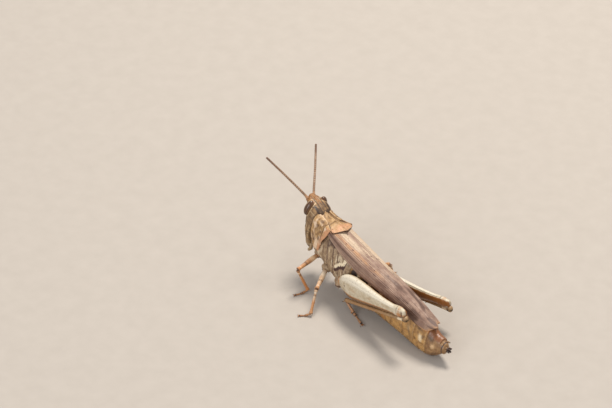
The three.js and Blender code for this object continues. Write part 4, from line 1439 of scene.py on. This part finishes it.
# %% Places of the joints
LEGS = {
    "foreleg_left": dict(
        coxa=(16.1, 0.7, 3.1), hip=(16.0, 0.85, 3.1), knee=(15.75, 4.68, 2.95),
        ankle=(15.1, 3.85, 0.32), toe=(15.5, 5.2, 0.22),
    ),
    "foreleg_right": dict(
        coxa=(16.1, -0.7, 3.1), hip=(16.0, -0.9, 3.1), knee=(18.65, -3.4, 2.9),
        ankle=(19.45, -4.05, 0.32), toe=(20.4, -5.1, 0.22),
    ),
    "midleg_left": dict(
        coxa=(14.5, 1.0, 2.35), hip=(14.4, 1.15, 2.3), knee=(12.6, 4.85, 2.5),
        ankle=(12.05, 6.05, 0.32), toe=(12.75, 6.95, 0.22),
    ),
    "midleg_right": dict(
        coxa=(14.5, -1.0, 2.35), hip=(14.4, -1.2, 2.3), knee=(10.85, -3.5, 2.4),
        ankle=(10.85, -3.95, 0.32), toe=(11.7, -4.9, 0.22),
    ),
    "hindleg_left": dict(
        coxa=(12.2, 1.2, 2.05), hip=(11.75, 1.68, 2.55), knee=(2.0, 2.5, 4.85),
        shin=(2.25, 2.5, 4.0), ankle=(10.75, 2.6, 1.15), sole=(9.1, 2.65, 0.24),
        toe=(7.7, 3.05, 0.22), tilt=0.0,
    ),
    "hindleg_right": dict(
        coxa=(12.2, -1.2, 2.05), hip=(11.75, -1.68, 2.55), knee=(1.9, -3.35, 3.08),
        shin=(2.15, -3.35, 2.25), ankle=(10.6, -2.15, 0.95), sole=(9.0, -2.55, 0.24),
        toe=(7.6, -3.05, 0.22), tilt=math.radians(18),
    ),
}
COXA_RADII = {
    "foreleg": (0.5, 0.46, 0.55), "midleg": (0.55, 0.5, 0.5), "hindleg": (0.62, 0.62, 0.72),
}
print("legs:", ", ".join(LEGS))

# %% [markdown]
# ## Things that repeat on legs
# Spines, spurs and claws are the same little horn at different sizes. The horn starts as a cone
# that stands on its base, is cut into rings, and has its upper rings pushed over, so that
# it curves. It is made once, and each copy gets a mesh of its own.


# %% The horn that spines, spurs and claws are copied from
def horn_pattern():
    deselect()
    bpy.ops.mesh.primitive_cone_add(
        vertices=10, radius1=1, radius2=0.02, depth=1, location=(0, 0, 0.5)
    )
    horn = bpy.context.object
    bpy.ops.object.transform_apply(location=True)
    take(horn)
    bpy.ops.object.mode_set(mode="EDIT")
    for height in (0.2, 0.4, 0.6, 0.8):
        bpy.ops.mesh.select_all(action="SELECT")
        bpy.ops.mesh.bisect(plane_co=(0, 0, height), plane_no=(0, 0, 1))
    bpy.ops.object.mode_set(mode="OBJECT")
    layer = horn.data.attributes.new("dark", "FLOAT", "POINT")
    layer.data.foreach_set("value", [ease(0.35, 0.75, v.co.z) for v in horn.data.vertices])
    horn.name = "horn pattern"
    return horn


HORN = horn_pattern()


def horn(root, aim, length, radius, curl=0.0, curl_to=Vector((0, 0, -1))):
    """A copy of the horn on a root, aimed, sized and curled towards a direction."""
    copy = HORN.copy()
    copy.data = HORN.data.copy()
    bpy.context.scene.collection.objects.link(copy)
    turn = aim.to_track_quat("Z", "Y").to_matrix().to_4x4()
    for vertex in copy.data.vertices:
        height = vertex.co.z
        vertex.co = turn @ Vector((vertex.co.x * radius, vertex.co.y * radius, height * length))
        vertex.co += root + curl_to * (curl * length * height**2)
        vertex.co.z = max(vertex.co.z, 0.0)
    take(copy)
    bpy.ops.object.shade_smooth()
    return copy


print("the horn has", len(HORN.data.polygons), "faces")

# %% [markdown]
# ## Feet
# A foot has three joints: a long one with three soft pads, a very short one, and a slim one
# that ends in two claws with a round pad between them. The pads start as balls and are squeezed
# flat. The whole foot lies on the floor, so its path keeps its own thickness above it.

# %% Foot
FOOT_SHELL = shell_finish(
    "brown foot shell", (168, 116, 72), (136, 88, 50), (58, 38, 26), (190, 130, 78),
    (214, 178, 138), roughness=0.42, clouds=0.4, specks=0.3, relief=0.006,
)


FIRST_JOINT_END, SECOND_JOINT_END = 0.45, 0.58  # as shares of the foot's length
FOOT_PADS = (0.34, 0.47, 0.58)


def foot_swell(thickness):
    def swell(share, angle):
        if share < FIRST_JOINT_END:
            joint = 0.82 + 0.3 * ease(0.1, 0.42, share)
        elif share < SECOND_JOINT_END:
            way = (share - FIRST_JOINT_END) / (SECOND_JOINT_END - FIRST_JOINT_END)
            joint = 0.8 + 0.25 * math.sin(math.pi * way)
        else:
            joint = 0.62 + 0.28 * ease(0.6, 0.95, share)
        return thickness * joint * dome(share, 0.04)

    return swell


def soft_pad(place, length, width, turn):
    deselect()
    bpy.ops.mesh.primitive_uv_sphere_add(segments=20, ring_count=12, radius=1)
    pad = bpy.context.object
    bpy.ops.object.mode_set(mode="EDIT")
    bpy.ops.mesh.select_all(action="SELECT")
    bpy.ops.transform.resize(value=(length, width, width * 0.6))
    bpy.ops.object.mode_set(mode="OBJECT")
    pad.data.transform(Matrix.Translation(place) @ Matrix.Rotation(turn, 4, "Z"))
    bpy.ops.object.shade_smooth()
    return pad


def foot_dark(u, v, point):
    joints = max(hill(u, FIRST_JOINT_END, 0.02), hill(u, SECOND_JOINT_END, 0.02))
    return max(joints, ease(0.9, 1, u))


def foot_bits(ankle, ball, toe, thickness):
    low = thickness * 0.95
    ball, toe = Vector((ball.x, ball.y, low)), Vector((toe.x, toe.y, low))
    bits = [
        laid_sheet(
            "foot", 70, 18, rod_skin([ankle, ball, toe], foot_swell(thickness)),
            {"dark": foot_dark, "pale": lambda u, v, p: 0.25},
        )
    ]
    path = smooth_path([ankle, ball, toe])
    forward = (toe - ball).normalized()
    across = Vector((-forward.y, forward.x, 0))
    turn = math.atan2(forward.y, forward.x)
    for share in FOOT_PADS:
        spot = path(share)
        under = Vector((spot.x, spot.y, thickness * 0.45))
        bits.append(soft_pad(under, thickness * 0.95, thickness * 0.75, turn))
    between_claws = toe + forward * thickness * 0.9 - Vector((0, 0, thickness * 0.25))
    bits.append(soft_pad(between_claws, thickness * 0.6, thickness * 0.62, turn))
    for side in (1, -1):
        root = toe + across * side * thickness * 0.4
        aim = (forward + across * side * 0.75 + Vector((0, 0, 0.15))).normalized()
        bits.append(horn(root, aim, thickness * 3.0, thickness * 0.36, curl=0.38))
    return bits


# %% [markdown]
# ## Hips
# The coxa is the stout ball-like first joint that carries a leg under the chest. It starts as a
# ball. A ring near its outer end is pressed in, to make the waist where the next joint sits, and
# the ball is squeezed to its three radii.

# %% Hips
def hip_ball(name, leg, radii):
    side = 1 if leg["coxa"][1] > 0 else -1
    deselect()
    bpy.ops.mesh.primitive_uv_sphere_add(segments=36, ring_count=24, radius=1)
    ball = bpy.context.object
    ball.name = name
    for vertex in ball.data.vertices:
        out = vertex.co.y * side * 0.7 - vertex.co.z * 0.7
        vertex.co *= 1 - 0.16 * hill(out, 0.72, 0.12) + 0.03 * noise.noise(vertex.co * 2.5)
    bpy.ops.object.mode_set(mode="EDIT")
    bpy.ops.mesh.select_all(action="SELECT")
    bpy.ops.transform.resize(value=radii)
    bpy.ops.object.mode_set(mode="OBJECT")
    layer = ball.data.attributes.new("dark", "FLOAT", "POINT")
    layer.data.foreach_set(
        "value", [0.7 * hill(v.co.z, -radii[2] * 0.5, 0.12) for v in ball.data.vertices]
    )
    ball.data.transform(LEAN @ Matrix.Translation(leg["coxa"]))
    bpy.ops.object.shade_smooth()
    return ball


def plain_name(name):
    """From foreleg_left to left_foreleg."""
    limb, side = name.split("_")
    return side + "_" + limb


for name, leg in LEGS.items():
    ball = hip_ball(plain_name(name) + "_hip", leg, COXA_RADII[name.split("_")[0]])
    set_down(ball, CHEST_SHELL, "chest_shell", name + "_coxa")

# %% [markdown]
# ## Front and middle legs
# These walk and hold, so they are plain slim rods. The thigh starts with a bead, the trochanter,
# has a low keel above and below and ends in a rounded knee. The shin has two sparse rows of
# small spines and two pairs of spurs at the ankle.

# %% Finishes of the walking legs
FRONT_LEG_SHELL = shell_finish(
    "orange brown leg shell", (190, 140, 94), (162, 114, 74), (94, 60, 38), (188, 124, 72),
    (226, 192, 150), roughness=0.42, clouds=0.6, specks=0.35, relief=0.01,
)
MIDDLE_LEG_SHELL = shell_finish(
    "pale leg shell", (206, 178, 146), (186, 142, 100), (100, 66, 42), (192, 134, 84),
    (232, 214, 188), roughness=0.42, clouds=0.6, specks=0.35, relief=0.01,
)
WALKING_LEGS = {
    "foreleg": dict(
        finish=FRONT_LEG_SHELL, slot="front_leg_shell", thigh=0.25, shin=0.16, foot=0.11
    ),
    "midleg": dict(
        finish=MIDDLE_LEG_SHELL, slot="middle_leg_shell", thigh=0.26, shin=0.16, foot=0.11
    ),
}

WALKING_SPINES = 5  # in a row


# %% Thigh, shin and horns of a walking leg
def walking_thigh_swell(radius):
    def swell(share, angle):
        if share < 0.09:
            form = 0.95 * math.sin(math.pi * clamp(share / 0.1, 0.12, 1)) ** 0.5
        else:
            form = 0.72 + 0.33 * hill(share, 0.36, 0.3) + 0.2 * hill(share, 0.96, 0.035)
        keel = 0.06 * (hill(angle, math.pi / 2, 0.16) + hill(angle, 3 * math.pi / 2, 0.16))
        return radius * (form + keel * ease(0.1, 0.2, share)) * dome(share, 0.025)

    return swell


def walking_shin_swell(radius):
    def swell(share, angle):
        form = 0.9 + 0.25 * hill(share, 0.06, 0.05) - 0.12 * hill(share, 0.2, 0.12)
        return radius * (form + 0.3 * ease(0.85, 0.98, share)) * dome(share, 0.03)

    return swell


def walking_thigh_dark(u, v, point):
    return max(0.8 * hill(u, 0.1, 0.02), 0.55 * hill(u, 0.62, 0.05), 0.7 * ease(0.95, 1, u))


def walking_shin_dark(u, v, point):
    return max(0.7 * ease(0.06, 0, u), 0.5 * hill(u, 0.25, 0.05), 0.6 * ease(0.93, 1, u))


def shin_horns(start, end, rows, count, length, radius, thickness):
    """Rows of spines along a shin, then two pairs of spurs at its end."""
    along = (end - start).normalized()
    bits = []
    for outward in rows:
        for i in range(count):
            share = line_between(0.3, 0.93, i / (count - 1))
            root = start.lerp(end, share) + outward * thickness * 0.7
            aim = (outward + along * 0.85).normalized()
            bits.append(horn(root, aim, length * (0.8 + 0.2 * math.sin(i * 2.1)), radius))
        for reach in (1.0, 1.35):
            root = start.lerp(end, 0.99) + outward * thickness * 0.7
            aim = (outward * (1.2 - 0.5 * reach) + along * reach).normalized()
            bits.append(horn(root, aim, length * reach * 1.15, radius * 1.15, curl=0.1))
    return bits


# %% Walking legs
for name, leg in LEGS.items():
    kind = name.split("_")[0]
    if kind == "hindleg":
        continue
    how = WALKING_LEGS[kind]
    hip, knee = on_body(*leg["hip"]), Vector(leg["knee"])
    ankle, toe = Vector(leg["ankle"]), Vector(leg["toe"])
    thigh = laid_sheet(
        plain_name(name) + "_thigh", 90, 28,
        rod_skin([hip, knee], walking_thigh_swell(how["thigh"])),
        {"dark": walking_thigh_dark,
         "pale": lambda u, v, p: 0.6 * hill(u, 0.3, 0.15) + 0.5 * hill(u, 0.86, 0.04),
         "warm": lambda u, v, p: ease(0.5, 0.95, u) * 0.6},
    )
    set_down(thigh, how["finish"], how["slot"], name + "_femur")
    across = (ankle - knee).cross(toe - ankle).normalized()
    back = across.cross((ankle - knee).normalized())
    rows = [(back * -0.75 + across * (0.66 * side)).normalized() for side in (1, -1)]
    shin = laid_sheet(
        "shin", 70, 20, rod_skin([knee, ankle], walking_shin_swell(how["shin"])),
        {"dark": walking_shin_dark,
         "pale": lambda u, v, p: 0.6 * hill(u, 0.14, 0.05),
         "warm": lambda u, v, p: ease(0.2, 0.6, u) * 0.75},
    )
    horns = shin_horns(
        knee, ankle, rows, WALKING_SPINES, length=0.2, radius=0.028, thickness=how["shin"]
    )
    shin = join(plain_name(name) + "_shin", [shin, *horns])
    set_down(shin, how["finish"], how["slot"], name + "_tibia")
    ball = ankle.lerp(toe, 0.5)
    foot = join(plain_name(name) + "_foot", foot_bits(ankle, ball, toe, how["foot"]))
    set_down(foot, FOOT_SHELL, "foot_shell", name + "_foot")

# %% [markdown]
# ## The jumping thigh
# The hind thigh is the engine of the jump: high and swollen near the hip, thin before the knee,
# with a flat outer face. Its muscles are tied to a herringbone of ridges there, framed by a
# keel above and one below. The sheet goes round the thigh, and the herringbone is a
# wave along it whose crests slant away from the face's middle line. The same wave goes into a
# mask, so that the furrows are a little darker: painted shade in the grooves.

# %% Thigh measures
thigh_above = size_curve(
    (0, 0.5), (0.06, 0.9), (0.18, 1.28), (0.3, 1.24), (0.45, 0.96), (0.65, 0.58), (0.82, 0.45),
    (0.93, 0.56), (1, 0.42),
)
thigh_below = size_curve(
    (0, 0.55), (0.06, 1.0), (0.18, 1.48), (0.3, 1.38), (0.45, 1.14), (0.65, 0.84), (0.82, 0.64),
    (0.93, 0.62), (1, 0.4),
)
thigh_side = size_curve(
    (0, 0.55), (0.06, 0.78), (0.18, 1), (0.35, 1), (0.6, 0.74), (0.82, 0.58), (0.93, 0.74), (1, 0.5)
)
THIGH_HALF_WIDTH = 0.6
THIGH_LENGTH = 9.8
CHEVRONS_PER_MM = 2.3
CHEVRON_SLANT = 1.1
FACE_EDGE = 0.6  # where the herringbone's frame runs, as a share of the half height
THIGH_DOTS = (0.2, 0.31, 0.37, 0.5, 0.58, 0.7)  # small dark dots along the upper keel
print("the herringbone has", CHEVRONS_PER_MM, "ridges to a millimetre")


def thigh_frame(leg):
    side = 1 if leg["coxa"][1] > 0 else -1
    hip, knee = on_body(*leg["hip"]), Vector(leg["knee"])
    along = (knee - hip).normalized()
    outward = Vector((0, side, 0))
    outward = (outward - along * outward.dot(along)).normalized()
    upward = along.cross(outward)
    if upward.z < 0:
        upward.negate()
    tilt = Matrix.Rotation(leg["tilt"], 3, along)
    return hip, knee, tilt @ outward, tilt @ upward


def herringbone(t, out, up):
    """The ridges' height there, from 0 to 1, on the outer face only."""
    on_face = ease(FACE_EDGE, FACE_EDGE - 0.08, abs(up)) * (1 if out > 0 else 0)
    on_face *= ease(0.1, 0.16, t) * ease(0.86, 0.8, t)
    wave = 0.5 + 0.5 * math.cos(
        2 * math.pi * CHEVRONS_PER_MM * (t * THIGH_LENGTH - CHEVRON_SLANT * abs(up))
    )
    return on_face * wave * ease(0.02, 0.1, abs(up))


def thigh_round(v):
    """Out and up on the thigh's section, where 0 is the upper keel and 0.25 the outer face."""
    angle = 2 * math.pi * v
    sin, cos = math.sin(angle), math.cos(angle)
    out = math.copysign(abs(sin) ** 0.72, sin) * (1 if sin > 0 else 0.88)
    return out, math.copysign(abs(cos) ** 1.12, cos)


# %% Skin of the jumping thigh
def thigh_skin(leg):
    hip, knee, outward, upward = thigh_frame(leg)
    along = (knee - hip).normalized()

    def place(u, v):
        t = clamp((u - 0.02) / 0.96)
        out, up = thigh_round(v)
        closing = min(clamp(u / 0.02), clamp((1 - u) / 0.02))
        scale = math.sqrt(closing * (2 - closing))
        height = thigh_above(t) if up > 0 else thigh_below(t)
        keel = 0.07 * hill(out, 0, 0.1) * ease(0.04, 0.12, t) * ease(0.95, 0.88, t)
        frame_ridge = 0.045 * hill(abs(up), FACE_EDGE + 0.03, 0.045)
        frame_ridge = frame_ridge * ease(0.08, 0.14, t) * ease(0.9, 0.84, t)
        middle = 0.02 * hill(up, 0, 0.04) * ease(0.1, 0.2, t) * ease(0.86, 0.8, t)
        sides = THIGH_HALF_WIDTH * thigh_side(t) * out
        relief = frame_ridge + 0.035 * herringbone(t, out, up) + middle
        knee_groove = 0.06 * hill(t - 0.03 * up * up, 0.9, 0.012) + 0.05 * hill(t, 0.965, 0.01)
        if out > 0:
            sides += relief * ease(0, 0.3, out)
        sides -= math.copysign(knee_groove, out) * ease(0.2, 0.6, abs(out))
        rise = up * height + math.copysign(keel, up)
        past_end = (1 - closing) * (0.14 if u > 0.5 else -0.2)
        base = hip.lerp(knee, t) + along * past_end
        return base + outward * sides * scale + upward * rise * scale

    return place


# %% Marks on the jumping thigh
def thigh_masks():
    def dark(u, v, point):
        out, up = thigh_round(v)
        furrow = 0.0
        if out > 0:
            on_face = ease(FACE_EDGE, FACE_EDGE - 0.1, abs(up))
            on_face = on_face * ease(0.1, 0.16, u) * ease(0.86, 0.8, u)
            # The furrows between the ridges are painted shade.
            furrow = 0.16 * on_face * (1 - herringbone(u, out, up))
        # The low part darkens the underside of the thigh: partly its own brown, partly painted
        # shade.
        low = 0.65 * ease(-0.38, -0.7, up) * ease(0.03, 0.1, u)
        spot = 0.8 * hill(u, 0.14, 0.012) * hill(up, 0.1, 0.12) * (1 if out > 0 else 0)
        dots = 0.55 * hill(up, 0.97, 0.03) * sum(hill(u, at, 0.006) for at in THIGH_DOTS)
        knee = 0.8 * hill(u, 0.965, 0.014) * ease(0.9, 0.3, abs(up)) + 0.5 * hill(u, 0.895, 0.01)
        return max(furrow, low, spot, dots, knee)

    def warm(u, v, point):
        out, up = thigh_round(v)
        base = ease(0.055, 0.015, u)
        knee = 0.6 * ease(0.86, 0.92, u) * ease(0.3, -0.3, up) + 0.5 * hill(u, 0.93, 0.022)
        line = 0.95 * hill(up, -0.56, 0.1) * ease(0.08, 0.16, u) * ease(0.92, 0.85, u)
        cloud = noise.noise(Vector((u * 9, up * 2.0, 6)))
        stain = 0.3 * ease(0.1, 0.45, cloud) * ease(0.5, 0.1, up)
        return max(base, knee, line, stain)

    def pale(u, v, point):
        out, up = thigh_round(v)
        top, frame_line = 0.0, 0.0
        if out > 0:
            top = 0.75 * ease(0.35, 0.6, up) * ease(0.05, 0.1, u) * ease(0.9, 0.8, u)
            frame_line = 0.7 * hill(up, FACE_EDGE + 0.03, 0.05)
        knee = 0.3 * ease(0.83, 0.87, u) * ease(0.97, 0.9, u)
        return max(top, knee, frame_line)

    def inner(u, v, point):
        out, up = thigh_round(v)
        edge = 0.05 * noise.noise(Vector((u * 30, up, 3)))
        return ease(0.0, -0.14, out + edge) * ease(0.985, 0.93, up + edge) * ease(0.04, 0.1, u)

    return {"dark": dark, "warm": warm, "pale": pale, "inner": inner}


# %% Lay the jumping thighs
def thigh_finish():
    finish = shell_finish(
        "cream jumping thigh", (202, 189, 164), (182, 165, 136), (104, 72, 46), (176, 124, 78),
        (214, 203, 182), roughness=0.4, clouds=0.7, specks=0.35, pits=12, relief=0.015,
    )
    nodes, links = finish.node_tree.nodes, finish.node_tree.links
    shader = nodes["Principled BSDF"]
    below = shader.inputs["Base Color"].links[0].from_socket
    layer = nodes.new("ShaderNodeAttribute")
    layer.attribute_name = "inner"
    colour = colour_mix(nodes, links, layer.outputs["Fac"], below, tint(142, 88, 36))
    links.new(colour, shader.inputs["Base Color"])
    return finish


THIGH_SHELL = thigh_finish()
for name, leg in LEGS.items():
    if name.startswith("hindleg"):
        thigh = laid_sheet(plain_name(name) + "_thigh", 300, 120, thigh_skin(leg), thigh_masks())
        set_down(thigh, THIGH_SHELL, "jumping_thigh_shell", name + "_femur")

# %% [markdown]
# ## The jumping shin and its foot
# The hind shin hangs from the knee, bends at once and lies folded under the thigh. Two rows of
# black-tipped spines stand on the side that faces away from the thigh, and four spurs stand at
# the ankle.

# %% Jumping shins and hind feet
SHIN_SHELL = shell_finish(
    "brown jumping shin", (172, 140, 100), (146, 112, 76), (44, 30, 22), (160, 118, 76),
    (224, 204, 172), roughness=0.4, clouds=0.7, specks=0.35, relief=0.01,
)
SHIN_RADIUS = 0.19
HIND_FOOT_THICKNESS = 0.14
SPINES_IN_A_ROW = 11


def jumping_shin_swell(share, angle):
    form = 1.0 + 0.5 * hill(share, 0.03, 0.035) - 0.1 * hill(share, 0.3, 0.2)
    form += 0.25 * ease(0.9, 0.99, share)
    return SHIN_RADIUS * form * dome(share, 0.02)


for name, leg in LEGS.items():
    if not name.startswith("hindleg"):
        continue
    knee, bend, ankle = (Vector(leg[joint]) for joint in ("knee", "shin", "ankle"))
    sole, toe = Vector(leg["sole"]), Vector(leg["toe"])
    points = [
        knee + Vector((-0.02, 0, -0.25)), bend + Vector((-0.4, 0, 0.12)),
        bend.lerp(ankle, 0.05), bend.lerp(ankle, 0.5), ankle,
    ]
    rod = laid_sheet(
        "shin", 150, 24, rod_skin(points, jumping_shin_swell),
        {"dark": lambda u, v, p: max(0.8 * hill(u, 0.09, 0.02), 0.6 * ease(0.94, 1, u)),
         "pale": lambda u, v, p: 0.9 * hill(u, 0.14, 0.03),
         "warm": lambda u, v, p: ease(0.2, 0.5, u) * 0.55},
    )
    rows = [Vector((0, 0.66 * side, -0.75)) for side in (1, -1)]
    horns = shin_horns(
        bend, ankle, rows, SPINES_IN_A_ROW, length=0.36, radius=0.05, thickness=SHIN_RADIUS
    )
    shin = join(plain_name(name) + "_shin", [rod, *horns])
    set_down(shin, SHIN_SHELL, "jumping_shin_shell", name + "_tibia")
    foot = join(plain_name(name) + "_foot", foot_bits(ankle, sole, toe, HIND_FOOT_THICKNESS))
    set_down(foot, FOOT_SHELL, "foot_shell", name + "_foot")

# %% Clear the bench
bpy.data.objects.remove(HORN)

# %% [markdown]
# ## Floor, light and camera
# She stands on a plain pale floor under soft studio light: a warm lamp high on her right, a
# larger, weaker and cooler one on her left, and a pale room. The camera looks down on her back
# from behind her left side.

# %% Floor
FLOOR_WIDTH = 1.2


def floor_finish():
    finish, nodes, links, shader, place = new_finish("pale floor", 0.9)
    shader.inputs["Specular IOR Level"].default_value = 0.2
    grain = nodes.new("ShaderNodeTexNoise")
    grain.inputs["Scale"].default_value = 0.6
    links.new(place, grain.inputs["Vector"])
    colour = colour_mix(nodes, links, grain.outputs[0], tint(172, 163, 153), tint(181, 172, 162))
    links.new(colour, shader.inputs["Base Color"])
    return finish


deselect()
bpy.ops.mesh.primitive_plane_add(size=FLOOR_WIDTH, location=(0, 0, 0))
floor = bpy.context.object
floor.name = "floor"
floor.data.materials.append(floor_finish())
print("the floor is", FLOOR_WIDTH, "m wide")

# %% Lights
ROOM_COLOUR = (0.96, 0.97, 1.0, 1.0)
ROOM_STRENGTH = 0.58


def soft_lamp(name, place, size, power, colour):
    deselect()
    bpy.ops.object.light_add(type="AREA", location=place)
    lamp = bpy.context.object
    lamp.name = name
    lamp.data.shape = "DISK"
    lamp.data.size = size
    lamp.data.energy = power
    lamp.data.color = colour
    lamp.rotation_euler = (-Vector(place)).to_track_quat("-Z", "Y").to_euler()
    return lamp


soft_lamp("key", (0.05, -0.12, 0.28), 0.10, 1.0, (1.0, 0.96, 0.9))
soft_lamp("fill", (-0.06, 0.24, 0.12), 0.20, 0.34, (0.97, 0.98, 1.0))
room = bpy.data.worlds.new("pale room")
bpy.context.scene.world = room
room.use_nodes = True
room.node_tree.nodes["Background"].inputs["Color"].default_value = ROOM_COLOUR
room.node_tree.nodes["Background"].inputs["Strength"].default_value = ROOM_STRENGTH
bpy.context.scene.view_settings.view_transform = "Standard"

# %% Camera
PICTURE_SIZE = (612, 408)
VIEW_TURN = math.radians(40)
VIEW_FALL = math.radians(38)
VIEW_DISTANCE = 300.0
FOCAL_PIXELS = 3000.0
SENSOR_WIDTH = 36.0
AIM = Vector((9.527, -0.223, 4.0))
AIM_PIXEL = (375.0, 272.0)

look = Vector(
    (
        math.cos(VIEW_TURN) * math.cos(VIEW_FALL),
        -math.sin(VIEW_TURN) * math.cos(VIEW_FALL),
        -math.sin(VIEW_FALL),
    )
)
to_right = look.cross(Vector((0, 0, 1))).normalized()
to_top = to_right.cross(look)
off_right = (AIM_PIXEL[0] - PICTURE_SIZE[0] / 2) / FOCAL_PIXELS * VIEW_DISTANCE
off_top = (PICTURE_SIZE[1] / 2 - AIM_PIXEL[1]) / FOCAL_PIXELS * VIEW_DISTANCE
stand = AIM - look * VIEW_DISTANCE - to_right * off_right - to_top * off_top
deselect()
bpy.ops.object.camera_add(location=SET_DOWN @ stand)
camera = bpy.context.object
camera.name = "camera"
camera.rotation_euler = look.to_track_quat("-Z", "Y").to_euler()
camera.data.sensor_width = SENSOR_WIDTH
camera.data.lens = FOCAL_PIXELS / PICTURE_SIZE[0] * SENSOR_WIDTH
camera.data.clip_start = 0.01
camera.data.clip_end = 10.0
bpy.context.scene.camera = camera
print("camera stands", [round(c, 3) for c in camera.location])
